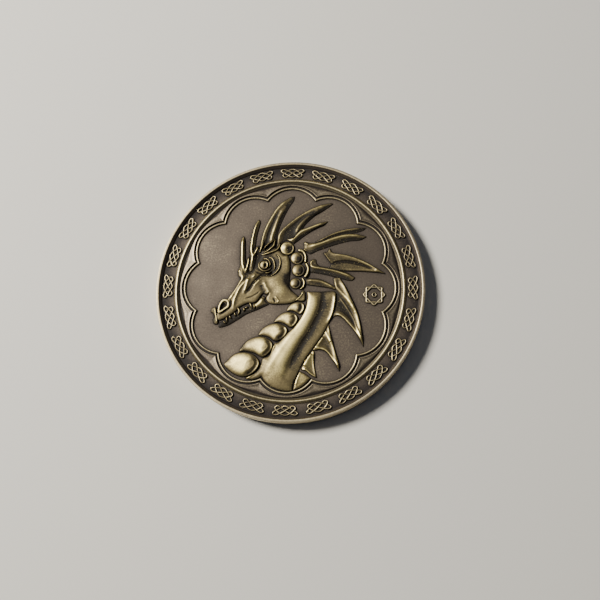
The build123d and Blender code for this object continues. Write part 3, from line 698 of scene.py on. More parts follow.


# Dragon, in millimetres on the field. Each piece has loops of smooth runs, and a rise: the height of its edge, the
# height of its top, and the width of its shoulder. Strokes are (line, width, height). Painted shading is (line, width,
# change of the crest value): falls paint shade and shadow, mostly on slopes turned from the key light, and rises
# paint light.
dragon = {
    "skull": {
        "loops": [[
            [(-11.75, -5.75), (-11.95, -4.9), (-11.75, -4.2), (-11.55, -3.3), (-11.15, -2.55), (-10.6, -2.2),
             (-10.1, -1.95), (-9.2, -0.7), (-8.4, 0.8), (-8.15, 1.4), (-8.55, 1.9), (-8.6, 2.7), (-8.3, 3.2),
             (-8.2, 4)],
            [(-8.2, 4), (-7.6, 3.5), (-7.1, 3.6), (-6.7, 4.4), (-6.3, 5.4), (-5.8, 6.3), (-5.2, 6.7), (-4.8, 6.6),
             (-4, 6.6), (-3, 6.8), (-2.2, 6.7), (-1.6, 6.2), (-1, 5.6), (-0.4, 5.5), (0, 4.6), (0.1, 3), (0.05, 1.6),
             (0, 0.2), (0.6, -0.7), (1.5, -1.5), (1.5, -2.1), (1, -2.55)],
            [(1, -2.55), (0, -2.85), (-1.2, -2.95), (-2.5, -2.95), (-3.3, -2.75), (-3.75, -2.2), (-3.7, -1.5)],
            [(-3.7, -1.5), (-3.9, -1.3), (-4.2, -1.1), (-4.5, -1.35), (-4.9, -2), (-5.4, -2.6), (-6, -2.8),
             (-6.8, -2.85), (-7.5, -3.15), (-8.2, -3.6), (-8.6, -4.1), (-9.1, -4.5), (-9.6, -4.9), (-10.4, -5.4),
             (-11.1, -5.7), (-11.75, -5.75)],
        ]],
        "rise": (0.1, 0.34, 0.6),
        "strokes": [
            ([(-10, -2.2), (-9.15, -1), (-8.4, 0.4), (-7.85, 1.4), (-7.9, 2.4)], 0.34, 0.14),
            ([(-9.15, -3.6), (-9.05, -2.4), (-8.65, -1.2), (-8.2, -0.2), (-7.6, 0.6), (-7.1, 1.2)], 0.28, 0.16),
            ([(-7.45, -0.9), (-7.1, 0.3), (-6.75, 1.5)], 0.28, 0.17), ([(-6.15, 1.6), (-5.7, 2.1)], 0.24, 0.13),
            ([(-9.6, -2.2), (-9.55, -3), (-9.9, -3.7), (-11.2, -4.7)], 0.16, -0.14),
            ([(-9.3, -1.9), (-8.8, -0.8), (-8.2, 0.3), (-7.4, 1.4), (-6.9, 1.9)], 0.2, -0.1),
            ([(-7.1, -1), (-6.5, -0.2), (-6, 0.6), (-5.2, 1.5), (-4.6, 2), (-3.4, 2.3), (-2.8, 2.4)], 0.24, -0.22),
            ([(-6, 0.2), (-5.5, 0.7), (-4.9, 1.3)], 0.32, 0.11),
            ([(-7.2, 2.5), (-6.7, 3), (-6.1, 4), (-5.6, 5), (-5.2, 5.9)], 0.55, -0.5),
            ([(-5.6, 2.6), (-4.8, 2.25), (-3.6, 2), (-3, 2.2)], 0.15, -0.12),
            ([(-4.2, 0.9), (-3.95, 0.2), (-3.6, -0.4), (-3.2, -1.1)], 0.32, 0.09),
            ([(-4.6, 0.4), (-4.4, -0.4), (-3.9, -1)], 0.35, -0.1), ([(-2.3, 1)], 1.3, 0.1), ([(-1.4, -0.8)], 1.3, 0.12),
            ([(-1.2, 3.6)], 0.9, 0.06), ([(-3.6, 3.8)], 1.75, -0.3),
            ([(-7.1, -2), (-6.2, -1.7), (-5.2, -1.1), (-4.9, -0.8)], 0.1, -0.06),
            ([(-2.5, -2), (-2.2, -2.6)], 0.12, -0.12), ([(-2.2, -1.7), (-1.7, -2.3), (-1.8, -2.7)], 0.1, 0.08),
            ([(-3.9, -1.3), (-3.6, -1.45), (-3.3, -1.1)], 0.12, -0.2),
            ([(-11.1, -3.9), (-10.7, -3.3), (-10.4, -2.9)], 0.35, -0.3), ([(0, 2.2), (-0.3, 1), (0.1, 0)], 0.4, -0.12),
        ],
        # Painted shade along the right edge, in the hollow between the rear spike and the eye, and in the nostril;
        # painted light on the cheek
        "paintedShading": [
            ([(0.1, 2.6), (-0.2, 1.4), (0.2, 0.2), (1, -0.9)], 0.6, -0.45),
            ([(-7.1, 2.5), (-6.6, 3), (-6.1, 4), (-5.6, 5), (-5.2, 5.9)], 0.6, -1.2),
            ([(-3.2, -1), (-2.6, -0.2)], 0.6, -0.15), ([(-0.5, 2.4), (-0.8, 1.2), (-0.4, 0.3)], 0.7, -0.3),
            ([(-3.2, 0.9)], 0.9, 0.16), ([(-1.6, 4.4)], 0.6, -0.14), ([(-10.8, -3.4)], 0.5, -0.8),
        ],
    },
    "lower_jaw": {
        "loops": [[
            [(-3.8, -1.75), (-4.3, -1.5), (-4.65, -1.85), (-5.1, -2.45), (-5.6, -2.85), (-6.3, -3.1), (-7.4, -3.7),
             (-8.6, -4.6), (-9.6, -5.2), (-10.6, -5.75), (-11.3, -6.1)],
            [(-11.3, -6.1), (-11.35, -6.9), (-10, -6.6), (-8.3, -5.6), (-7, -4.7), (-5.6, -4.1), (-4.2, -3.45),
             (-3.2, -2.95)],
            [(-3.2, -2.95), (-3.9, -2.3), (-3.8, -1.75)],
        ]],
        "rise": (0.05, 0.2, 0.8),
        "strokes": [([(-5.6, -3.3), (-4.8, -2.7), (-4.25, -1.9)], 0.45, 0.16)],
        # Painted shadow along the jaw's lower edge below the teeth, and painted light on its upper part
        "paintedShading": [
            ([(-11.3, -6.6), (-10.2, -6.3), (-8.6, -5.5), (-7.2, -4.6), (-6.4, -4.2)], 0.34, -1.2),
            ([(-6.2, -4.15), (-4.8, -3.55), (-3.4, -2.95)], 0.2, -0.9),
            ([(-6.1, -3.3), (-5.3, -3), (-4.4, -2.4)], 0.45, 0.4),
        ],
    },
    "nose_lip": {
        "loops": [[
            [(-12.15, -3.45), (-12.75, -3.75), (-12.85, -4.3), (-12.5, -4.6), (-12.3, -5.2), (-12.45, -5.6),
             (-12.25, -6.3), (-11.7, -6.4), (-11.45, -6), (-11.6, -5.2), (-11.85, -4.4), (-11.9, -3.7)],
        ]],
        "rise": (0.08, 0.24, 0.35),
        "strokes": [([(-12.2, -3.7), (-12, -4.6), (-11.8, -5.6), (-11.7, -6.2)], 0.18, 0.16)],
    },
    "nostril": {
        "loops": [
            [
                [(-11.65, -4.5), (-11.6, -3.3), (-11.15, -2.4), (-10.6, -2.1), (-10, -2.3), (-9.7, -3), (-9.85, -3.6),
                 (-10.4, -4), (-11.1, -4.5)],
            ],
            [
                [(-11.25, -4.05), (-11.15, -3.3), (-10.85, -2.75), (-10.5, -2.6), (-10.2, -2.8), (-10.25, -3.3),
                 (-10.7, -3.7)],
            ],
        ],
        "rise": (0.2, 0.5, 0.16), "step": 0.045,
    },
    "eyeball": {
        "loops": [circle(-4.3, 3.75, 0.78)],
        "rise": (0.2, 0.46, 0.6), "step": 0.04,
        "strokes": [
            ([(-4.1, 3.95), (-4.08, 3.7), (-4.12, 3.45)], 0.17, -0.4),
            ([(-4, 4.35), (-3.75, 4.1), (-3.72, 3.7), (-3.85, 3.4)], 0.12, 0.12),
        ],
        # Darker in the pupil's groove
        "paintedShading": [([(-4.1, 3.95), (-4.08, 3.7), (-4.12, 3.45)], 0.22, -1)],
    },
    "brow_spike_front": {
        "loops": [[
            [(-8.75, 2.6), (-8.4, 3.9), (-8.4, 5.5), (-8.45, 7.5), (-8.3, 8.4), (-8, 8.95)],
            [(-8, 8.95), (-7.7, 8.3), (-7.55, 6.6), (-7.45, 5), (-7.3, 4.2)],
            [(-7.3, 4.2), (-7.1, 4.9), (-6.95, 5.5)],
            [(-6.95, 5.5), (-6.75, 4.7), (-6.75, 3.6), (-6.9, 2.7)],
            [(-6.9, 2.7), (-7.6, 2), (-8.3, 1.7), (-8.75, 2.6)],
        ]],
        "rise": (0.06, 0.22, 0.4),
        "strokes": [
            ([(-8, 8.6), (-8.1, 7.2), (-8.05, 5.8), (-8, 4.4), (-7.7, 3.2), (-7.3, 2.5)], 0.3, 0.28),
            ([(-6.95, 5.2), (-7, 4.2), (-7.15, 3.4), (-7.3, 2.7)], 0.15, 0.2), ([(-8.45, 2.9), (-8.2, 2.4)], 0.2, 0.14),
            ([(-7.45, 3.9), (-7.4, 3.2)], 0.12, -0.16),
        ],
    },
    "brow_spike_rear": {
        "loops": [[
            [(-6.9, 3), (-6.75, 4.4), (-6.95, 6), (-6.85, 7.4), (-6.6, 8.8), (-6.3, 10.2), (-5.9, 11.4),
             (-5.45, 11.95)],
            [(-5.45, 11.95), (-5.2, 11.4), (-5.45, 10.2), (-5.7, 9), (-5.85, 7.6), (-5.85, 6.7)],
            [(-5.85, 6.7), (-5.55, 7.1), (-5.3, 7.3)],
            [(-5.3, 7.3), (-5.3, 6.5), (-5.6, 5.6), (-5.75, 4.6), (-6, 3.2)],
            [(-6, 3.2), (-6.5, 2.6), (-6.9, 3)],
        ]],
        "rise": (0.06, 0.2, 0.4),
        "strokes": [
            ([(-5.6, 11.6), (-6.05, 10.4), (-6.35, 8.9), (-6.5, 7.5), (-6.55, 6.4), (-6.3, 5.2),
              (-6.5, 3.6)], 0.24, 0.28),
            ([(-5.45, 7), (-5.75, 6.2), (-6.15, 5.3)], 0.17, 0.24), ([(-6.05, 6.9), (-6.1, 6.3)], 0.1, -0.15),
        ],
        # Painted shade on the lower stem of the spike
        "paintedShading": [([(-5.75, 5.2), (-6, 4.2), (-6.15, 3.3)], 0.2, -0.6)],
    },
    "crest_horn_1": {
        "loops": [[
            [(-5.2, 5.9), (-5.05, 7.5), (-4.75, 9.2), (-4.2, 10.8), (-3.4, 12.5), (-2.55, 14), (-1.5, 15.1),
             (-0.3, 15.9), (0.5, 16.1)],
            [(0.5, 16.1), (0.35, 15.3), (-0.15, 14.5), (-0.7, 13.5), (-1.2, 12.4), (-1.75, 11), (-2.15, 9.6),
             (-2.35, 8.4), (-2.5, 7.2)],
            [(-2.7, 7.2), (-3.6, 6.4), (-4.6, 5.9), (-5.2, 5.9)],
        ]],
        "rise": (0.04, 0.1, 0.8),
        "strokes": [
            ([(-5, 6.1), (-4.85, 7.5), (-4.55, 9.2), (-4, 10.8), (-3.2, 12.4), (-2.4, 13.75), (-1.4, 14.85),
              (-0.3, 15.65)], 0.42, 0.24),
            ([(-3.2, 7.4), (-3.2, 8.6), (-2.95, 9.6), (-2.55, 11), (-2.05, 12.5), (-1.5, 13.5),
              (-1.1, 14.1)], 0.4, 0.24),
            ([(-4.3, 7.8), (-4.1, 9), (-3.6, 10.4), (-2.9, 12)], 0.15, 0.05),
        ],
        # Painted shade on the right slopes, turned from the key light
        "paintedShading": [
            ([(-2.3, 8.6), (-2, 9.8), (-1.6, 11.2), (-1, 12.6), (-0.4, 13.8), (0.3, 15.3)], 0.45, -0.95),
            ([(-4, 8.2), (-3.7, 9.6), (-3.1, 11.2), (-2.2, 12.9)], 0.3, -0.5),
        ],
    },
    "crest_horn_2": {
        "loops": [[
            [(-2.35, 6.9), (-2.2, 8.3), (-2, 9.3), (-1.3, 10.3), (0.1, 11.6), (1.7, 12.8), (3.5, 13.85), (5.2, 14.55),
             (6.6, 14.85), (7.1, 14.75)],
            [(7.1, 14.75), (6.2, 14), (5.2, 13.3), (4.2, 12.7), (3.2, 11.8), (2.3, 10.8), (1.9, 10), (1.3, 9.3),
             (0.4, 8.6), (-0.6, 8.2), (-1.2, 7.9)],
            [(-1.2, 7.9), (-1.8, 7.2), (-2.35, 6.9)],
        ]],
        "rise": (0.04, 0.1, 0.9),
        "strokes": [
            ([(-2.1, 7.2), (-2, 8.5), (-1.8, 9.3), (-1.1, 10.3), (0.2, 11.5), (1.7, 12.65), (3.5, 13.65), (5.2, 14.3),
              (6.5, 14.6)], 0.45, 0.24),
            ([(1, 9.1), (1.1, 10), (1.5, 10.8), (2.2, 11.7), (3.1, 12.5), (4.2, 13.15), (5.2, 13.6)], 0.42, 0.26),
        ],
        # Painted shade on the right slopes, turned from the key light
        "paintedShading": [
            ([(0.3, 8.5), (1.5, 9.5), (2.3, 10.8), (3.3, 12), (4.4, 12.9), (5.6, 13.7), (6.7, 14.5)], 0.4, -0.95),
            ([(-0.6, 8.9), (0.2, 9.9), (1.2, 11.2), (2.6, 12.4), (4.4, 13.5)], 0.4, -0.6),
        ],
    },
    "crest_horn_3": {
        "loops": [[
            [(-0.75, 8.3), (-0.2, 8.5), (0.5, 8.6), (1.2, 9.5), (1.8, 10.1), (3, 10.5), (4.2, 11), (5.3, 11.4),
             (6.3, 11.6)],
            [(6.3, 11.6), (5.6, 10.9), (4.6, 10.4), (3.4, 9.7), (2.4, 9), (1.4, 8.2), (0.5, 7.5)],
            [(0.5, 7.5), (-0.1, 7.9), (-0.75, 8.3)],
        ]],
        "rise": (0.05, 0.16, 0.5),
        "strokes": [
            ([(-0.5, 8.2), (0.2, 8.25), (1, 9), (1.8, 9.65), (2.8, 10.15), (4, 10.65), (5, 11),
              (5.9, 11.3)], 0.45, 0.28),
        ],
        # Painted shade on the right slope, turned from the key light
        "paintedShading": [([(0.8, 7.7), (1.8, 8.5), (2.9, 9.3), (4.2, 10.1), (5.6, 11)], 0.4, -0.95)],
    },
    "crest_horn_4": {
        "loops": [[
            [(4, 7.9), (5.5, 8.6), (7, 9.4), (8.5, 9.95), (10.5, 10.35), (12.75, 10.45)],
            [(12.75, 10.45), (12, 9.85), (10.4, 9.4), (9, 9.1), (7.4, 8.7), (6, 8.2), (5, 7.8), (4, 7.9)],
        ]],
        "rise": (0.04, 0.07, 0.3),
        "strokes": [([(4.6, 8.15), (6, 8.8), (7.2, 9.35), (8.5, 9.75), (10.3, 10.15), (12, 10.3)], 0.34, 0.22)],
        # Painted shade on the lower slope, turned from the key light
        "paintedShading": [([(5.6, 8.1), (7.2, 8.75), (9, 9.25), (11, 9.6), (12.4, 10.1)], 0.35, -0.8)],
    },
    "crest_horn_4_tine": {
        "loops": [[
            [(2.1, 7.6), (2.5, 7.95), (3.1, 7.8), (4.2, 7.75), (5.3, 7.95), (6.5, 8.5), (7.8, 8.95), (9.4, 9.3),
             (11.2, 9.25), (12.75, 8.85)],
            [(12.75, 8.85), (11.6, 8.2), (10, 8.05), (8, 7.55), (6, 6.85), (4.5, 6.3), (3.4, 5.75), (2.8, 6.1)],
            [(2.8, 6.1), (2.2, 6.5), (2.3, 7), (2.1, 7.6)],
        ]],
        "rise": (0.05, 0.14, 0.5),
        "strokes": [
            ([(2.8, 7), (4.2, 7.3), (6, 8), (7.6, 8.55), (9.2, 8.95), (11, 9), (12.4, 8.8)], 0.45, 0.28),
            ([(2.4, 7.7), (3, 7.4)], 0.18, 0.14), ([(2.2, 6.6), (2.8, 6.2)], 0.15, 0.16),
        ],
        # Painted shade on the lower slope, turned from the key light
        "paintedShading": [([(3.4, 5.9), (4.8, 6.4), (6.2, 7), (8, 7.65), (10, 8.15), (11.8, 8.35)], 0.4, -0.85)],
    },
    "frill_blade": {
        "loops": [[
            [(5.5, 6), (6.2, 6.2), (6.6, 6.75), (6.95, 6.2), (7.5, 5.9), (8.3, 5.8), (9.5, 5.6), (11, 5.15),
             (12.5, 4.5), (14, 3.6), (15.3, 2.8), (15.95, 2.35)],
            [(15.95, 2.35), (15, 2.5), (14, 2.6), (12, 2.75), (9.5, 2.8), (7.6, 3), (6.6, 3.35)],
            [(6.6, 3.35), (6.8, 3.9), (6.75, 4.2)],
            [(6.75, 4.2), (6.2, 5), (5.5, 6)],
        ]],
        "rise": (0.08, 0.22, 0.4),
        "strokes": [
            ([(7, 6.3), (7.3, 5.9), (8.3, 5.65), (9.5, 5.4), (11, 4.95), (12.5, 4.25), (14, 3.4),
              (15.4, 2.7)], 0.45, 0.18),
            ([(5.6, 5.8), (6.1, 5.1), (6.7, 4.3)], 0.25, 0.16),
            ([(6.9, 3.95), (7.6, 4.25), (8.6, 4.45), (10, 4.4), (12, 3.9), (14, 3.1)], 0.22, -0.16),
            ([(9.5, 3), (12, 3), (14, 2.9), (15.2, 2.6)], 0.25, 0.06),
        ],
        # Painted shade in the groove under the blade's ridge
        "paintedShading": [([(6.9, 3.95), (7.6, 4.2), (8.8, 4.35), (10.2, 4.3), (12, 3.85)], 0.25, -0.4)],
    },
    "frill_spike_upper": {
        "loops": [[
            [(3.3, 4.4), (3.8, 4.85), (4.35, 4.8), (4.5, 4.2), (5, 3.7), (6, 3.5), (7.5, 3.15), (9.5, 2.6),
             (10.9, 1.7)],
            [(10.9, 1.7), (10.2, 1.15), (8, 1.65), (6.3, 2.1), (4.8, 2.4), (3.5, 2.6)],
            [(3.5, 2.6), (3.35, 3.3), (3.3, 4.4)],
        ]],
        "rise": (0.05, 0.18, 0.5),
        "strokes": [
            ([(3.5, 4.3), (3.6, 3.7), (4.2, 3.4), (5.5, 3.2), (7.5, 2.8), (9.3, 2.2), (10.6, 1.65)], 0.24, 0.22),
            ([(3.5, 4.3), (4, 4.7)], 0.2, 0.1),
        ],
        # Painted shade on the lower slope of the spike
        "paintedShading": [([(4.2, 2.7), (6.3, 2.2), (8.4, 1.7), (10.2, 1.3)], 0.35, -0.4)],
    },
    "frill_spike_lower": {
        "loops": [[
            [(2.75, 1.5), (3.6, 1.55), (5, 1.45), (6.3, 0.9), (7.8, 0)],
            [(7.8, 0), (7.6, -0.4), (6.5, -0.1), (4.5, 0.2), (2.9, 0.4)],
            [(2.9, 0.4), (2.7, 0.9), (2.75, 1.5)],
        ]],
        "rise": (0.06, 0.2, 0.5),
        "strokes": [([(2.9, 1.15), (4, 1.15), (5.3, 0.95), (6.4, 0.5), (7.5, -0.1)], 0.25, 0.16)],
    },
    "cheek_scale_1": {
        "loops": [circle(-0.5, 6.7, 1.2)], "rise": (0.1, 0.4, 0.3),
        "strokes": [
            ([(-0.7, 6.8)], 0.55, 0.16), ([(-0.2, 6.6)], 0.5, -0.12),
            ([(0.3, 7.2), (0.3, 6.6), (0.05, 6.1), (-0.5, 5.85)], 0.14, -0.12),
        ],
        # Painted shade over the middle and right of the scale
        "paintedShading": [([(-0.15, 6.6)], 0.55, -1)],
    },
    "cheek_scale_2": roundScale(1.2, 5, 1.14, ([(1.5, 4.85)], 0.62, -1)),
    "cheek_scale_3": roundScale(1.48, 2.9, 1.12, ([(1.85, 2.85)], 0.62, -0.9)),
    "cheek_scale_4": roundScale(1.05, 0.65, 0.98, ([(1.4, 0.55)], 0.55, -0.75)),
    "collar_upper": {
        "loops": [[
            [(1.3, 6.6), (2.1, 6.55), (2.65, 5.9), (2.85, 5), (2.75, 4.2)],
            [(2.75, 4.2), (2.4, 4.3), (2.4, 5.2), (2.05, 5.9), (1.4, 6.15), (1.3, 6.6)],
        ]],
        "rise": (0.1, 0.42, 0.3), "step": 0.045,
    },
    "collar_middle": {
        "loops": [[
            [(2.75, 4.3), (3.2, 3.7), (3.35, 2.9), (3.1, 2), (2.75, 1.55)],
            [(2.75, 1.55), (2.4, 1.8), (2.75, 2.5), (2.85, 3.2), (2.6, 3.9), (2.75, 4.3)],
        ]],
        "rise": (0.1, 0.44, 0.24), "step": 0.045,
    },
    "collar_lower": {
        "loops": [[
            [(2.3, 1.6), (2.65, 1), (2.6, 0.2), (2.1, -0.4)],
            [(2.1, -0.4), (1.75, -0.3), (2.2, 0.2), (2.25, 0.9), (2, 1.4), (2.3, 1.6)],
        ]],
        "rise": (0.1, 0.42, 0.2), "step": 0.045,
    },
    "throat_plate_1": {
        "loops": [[
            [(2.2, -0.6), (2.6, -0.7), (2.75, -1.4), (2.7, -2.2), (2.2, -2.45), (1.5, -2.35), (1, -2.3), (1.6, -1.7),
             (2, -1.2)],
        ]],
        "rise": (0.1, 0.3, 0.3), "step": 0.045,
        "strokes": [([(2.25, -0.75), (2.1, -1.25), (1.65, -1.85), (1.15, -2.2)], 0.15, 0.14)],
    },
    "throat_plate_2": throatPlate(
        [(-0.25, -4.05), (0, -3.3), (0.6, -2.75), (1.6, -2.45), (2.4, -2.7), (2.7, -3.4), (2.4, -4.3), (1.8, -4.6),
         (0.9, -4.15), (0.3, -4.05)],
        0.44, 0.8,
        [(1.9, -2.7), (2.15, -3.3), (1.95, -4), (1.6, -4.4)],
        [(2.3, -2.85), (2.55, -3.4), (2.3, -4.1), (1.9, -4.5)],
        [([(1.7, -2.9), (1.85, -3.5), (1.6, -4.2)], 0.42, -0.75)],
        lean=(0.9, -0.2),
    ),
    "throat_plate_3": throatPlate(
        [(-2.3, -5.95), (-1.7, -5), (-0.8, -4.35), (0.3, -4.2), (1.3, -4.6), (1.65, -5.4), (1.2, -6.4), (0.4, -6.85),
         (-0.6, -6.25), (-1.5, -6)],
        0.5, 1,
        [(0.75, -4.6), (1.15, -5.3), (0.9, -6), (0.4, -6.5)],
        [(1.15, -4.7), (1.5, -5.4), (1.15, -6.25), (0.6, -6.75)],
        [([(0.5, -4.8), (0.7, -5.5), (0.4, -6.2)], 0.5, -0.75)],
    ),
    "throat_plate_4": throatPlate(
        [(-4.8, -8.15), (-4.2, -7.1), (-3, -6.3), (-1.7, -6.1), (-0.6, -6.5), (0, -7.2), (-0.3, -8.2), (-1.3, -9),
         (-2.2, -9.1), (-3, -8.55), (-4, -8.25)],
        0.54, 1.15,
        [(-0.95, -6.7), (-0.55, -7.4), (-0.85, -8.2), (-1.6, -8.75)],
        [(-0.6, -6.7), (-0.15, -7.3), (-0.45, -8.15), (-1.3, -8.85)],
        [([(-1.3, -6.9), (-1, -7.6), (-1.3, -8.3), (-1.9, -8.8)], 0.5, -0.7)],
    ),
    "throat_plate_5": throatPlate(
        [(-7.8, -10.85), (-7.3, -9.9), (-6.3, -8.9), (-4.8, -8.35), (-3.5, -8.5), (-2.5, -9.3), (-2.35, -10.2),
         (-3, -11.2), (-4, -11.8), (-5.4, -11.15), (-6.8, -10.85)],
        0.56, 1.3,
        [(-3.3, -8.9), (-2.85, -9.6), (-2.85, -10.4), (-3.5, -11.2), (-4.1, -11.5)],
        [(-2.95, -8.95), (-2.5, -9.6), (-2.55, -10.4), (-3.15, -11.2), (-3.9, -11.65)],
        [([(-3.5, -9.1), (-3.3, -9.9), (-3.6, -10.8)], 0.5, -0.45), ([(-7.2, -10.3)], 0.5, -0.3)],
    ),
    "throat_plate_6": throatPlate(
        [(-10.2, -13.1), (-9.6, -12.3), (-8.5, -11.3), (-7, -10.95), (-5.6, -11.25), (-4.7, -12), (-4.35, -12.9),
         (-4.8, -13.9), (-5.8, -14.7), (-6.9, -15.05), (-8.2, -14.75), (-9.4, -14)],
        0.58, 1.5,
        [(-5.3, -11.8), (-4.9, -12.6), (-5.1, -13.4), (-5.8, -14.2), (-6.6, -14.7)],
        [(-5, -11.8), (-4.5, -12.6), (-4.75, -13.5), (-5.5, -14.35), (-6.4, -14.9)],
        [([(-5.6, -11.9), (-5.5, -12.8), (-5.9, -13.8), (-6.6, -14.5)], 0.55, -0.5)],
    ),
    "neck": {
        "loops": [[
            [(3, -0.75), (3.05, -2), (2.85, -3.4), (2.4, -4.6), (1.7, -5.8), (0.9, -6.9), (0, -7.7), (-1.3, -9.15),
             (-2.05, -9.45)],
            [(-2.05, -9.45), (-2.4, -10.4), (-2.9, -11.5), (-3.9, -11.95), (-4.1, -12.8), (-4.4, -13.6), (-5.2, -14.5),
             (-6.7, -15.25)],
            [(-6.7, -15.25), (-5.7, -15.5), (-4.7, -15.3), (-4.05, -14.95)],
            [(-4.05, -14.95), (-3.2, -16), (-1.6, -16.95), (0, -17.25), (1, -17.15)],
            [(1, -17.15), (1.15, -15.9), (1.6, -14.9), (2.2, -13.4), (3.2, -11.6), (4.1, -10.3), (4.8, -9.3),
             (5.6, -8.1), (6.2, -7), (6.8, -5.8), (7.4, -4.4), (7.75, -2.6), (7.85, -1)],
            [(7.85, -1), (7.2, -0.6), (5.2, -0.75), (3, -0.75)],
        ]],
        "rise": (0.12, 0.48, 2.3),
        "strokes": [
            ([(3.35, -0.9), (3.3, -2.6), (2.75, -4.5), (1.7, -6.3), (0.5, -8), (-0.8, -10), (-2.1, -12.2),
              (-3.2, -14.4)], 0.45, 0.05),
            ([(4.1, -0.9), (3.9, -3), (3.1, -5), (1.9, -7.2), (0.6, -9.4), (-0.7, -11.8), (-1.7, -14)], 0.9, 0.07),
            ([(5.55, -0.7), (5.4, -3), (4.7, -5), (3.6, -7.3), (2.3, -9.5), (1.25, -11.5), (0.4, -13.2),
              (-0.15, -14.8)], 0.6, -0.2),
            ([(6.4, -1), (6.3, -2.8), (5.7, -4.8), (4.7, -6.9), (3.5, -8.9), (2.3, -11), (1.3, -13.2),
              (0.6, -15.4)], 0.95, -0.17),
            ([(7.65, -1.1), (7.55, -2.5), (7.2, -4.4), (6.6, -5.9)], 0.3, 0.2),
            ([(-4.15, -12.1), (-4.2, -12.9), (-4.6, -13.7), (-5.4, -14.6), (-6.4, -15.2)], 0.16, 0.16),
            ([(-2.1, -9.6), (-2.3, -10.2), (-2.95, -11.3)], 0.18, 0.15),
        ],
        # Painted shade along the groove and the right band; darker at the foot of the neck
        "paintedShading": [
            ([(5.6, -0.7), (5.45, -3), (4.75, -5), (3.65, -7.3), (2.35, -9.5), (1.3, -11.5), (0.45, -13.2)], 0.5, -0.6),
            ([(-1.2, -15.6)], 1.5, -0.25),
            ([(6.6, -1), (6.4, -2.8), (5.8, -4.8), (4.8, -6.9), (3.6, -8.9), (2.4, -11), (1.4, -13.2),
              (0.7, -15.4)], 0.8, -0.32),
        ],
    },
    "mane_fin_1": {
        "loops": [[
            [(7.2, 1.6), (7.7, 1.75), (8.4, 1.7)],
            [(8.4, 1.7), (9.4, 0), (10.4, -2), (11.2, -3.8), (11.8, -5.8), (12.15, -8), (12.35, -10)],
            [(12.35, -10), (11.9, -9.1), (11.2, -7.9), (10.2, -6.6), (9, -5.3), (8.2, -4.8), (7.5, -4.95), (7.2, -5.3)],
            [(7.2, -5.3), (7.5, -4), (7.75, -2.5), (7.8, -1), (7.6, -0.2), (7.2, 1.6)],
        ]],
        "rise": (0.04, 0.08, 0.3),
        "strokes": [
            ([(8.35, 1.5), (9.15, 0.1), (10.1, -1.9), (10.95, -3.8), (11.55, -5.9), (11.95, -8),
              (12.2, -9.6)], 0.48, 0.28),
            ([(7.6, 1.5), (7.8, 0.2), (8.4, -0.6), (9.4, -1.8), (10.3, -3.1), (10.9, -4.1)], 0.32, 0.2),
            ([(8.1, 1.2), (8.7, 0), (9.6, -1.5), (10.4, -2.9)], 0.5, 0.08),
            ([(8.3, -1.6), (9.4, -3.2), (10.5, -5), (11.3, -7), (11.9, -8.6)], 0.14, 0.08),
            ([(7.5, -4.6), (8.1, -4.55), (9, -5), (10.2, -6.3), (11.2, -7.6), (12, -9.3)], 0.45, 0.26),
        ],
        # Painted shade on the fin's lower part and along its right edge
        "paintedShading": [
            ([(8.3, -2.6), (9.2, -3.9), (10.2, -5.4), (11, -6.9)], 0.5, -0.25),
            ([(12.3, -9), (12, -7), (11.5, -4.9), (10.6, -2.2), (9.4, 0.1)], 0.16, -0.5),
        ],
    },
    "mane_fin_2": {
        "loops": [[
            [(6.65, -6.1), (6.95, -7.5), (7.45, -9.3), (7.95, -11), (8.4, -12.5), (8.55, -14)],
            [(8.55, -14), (8.1, -13.2), (7.3, -12), (6.3, -10.8), (5.3, -10.45), (4.5, -10.6), (4.1, -10.5)],
            [(4.1, -10.5), (4.9, -9.3), (5.7, -8.1), (6.65, -6.1)],
        ]],
        "rise": (0.04, 0.08, 0.3),
        "strokes": [
            ([(6.6, -6.4), (6.8, -7.6), (7.2, -9.3), (7.7, -11), (8.15, -12.5), (8.45, -13.8)], 0.4, 0.26),
            ([(5.95, -7.3), (6.2, -7.6), (6.5, -8.3), (7, -9.3)], 0.3, 0.2),
            ([(4.3, -10.2), (5.2, -10.2), (6.2, -10.5), (7.2, -11.7), (8, -12.9), (8.35, -13.7)], 0.42, 0.26),
            ([(5.8, -8.2), (5.1, -9.3), (4.3, -10.2)], 0.4, 0.2),
        ],
    },
    "mane_fin_3": {
        "loops": [[
            [(4.2, -10.5), (4.5, -11), (4.45, -12), (4.6, -13.5), (4.95, -15.05)],
            [(4.95, -15.05), (4.3, -14.8), (3.8, -14.5), (3.1, -13.95), (2.35, -13.75)],
            [(2.35, -13.75), (2.7, -12.8), (3.4, -11.6), (4.2, -10.5)],
        ]],
        "rise": (0.05, 0.14, 0.3),
        "strokes": [
            ([(3.9, -11), (3.3, -12.1), (2.85, -13.3)], 0.75, 0.28),
            ([(2.6, -13.6), (3.3, -13.9), (4, -14.5), (4.8, -15)], 0.26, 0.14),
            ([(4.3, -10.8), (4.3, -12), (4.45, -13.5), (4.8, -14.8)], 0.2, 0.08),
        ],
        # Lighter along the broad ridge
        "paintedShading": [([(4, -11.2), (3.4, -12.4), (3.1, -13.3)], 0.7, 0.6)],
    },
    "mane_fin_4": {
        "loops": [[
            [(2.1, -14), (3, -14.35), (3.95, -15.05)],
            [(3.95, -15.05), (3.2, -15.95), (2.2, -16.7), (1.15, -17.05)],
            [(1.15, -17.05), (1.35, -15.8), (1.75, -14.8), (2.1, -14)],
        ]],
        "rise": (0.08, 0.3, 0.6),
        "strokes": [([(2.1, -14.3), (1.75, -15.2), (1.45, -16.3)], 0.2, 0.1)],
    },
}


# Name of the piece that stands for a node: crest_horn_1 gives dragonCrestHorn1
def dragonName(node):
    return "dragon" + "".join(word.capitalize() for word in node.split("_"))


for node, spec in dragon.items():
    reliefPiece(dragonName(node), spec, [node], "dragon_relief", dragonFinish)
print("dragon made")

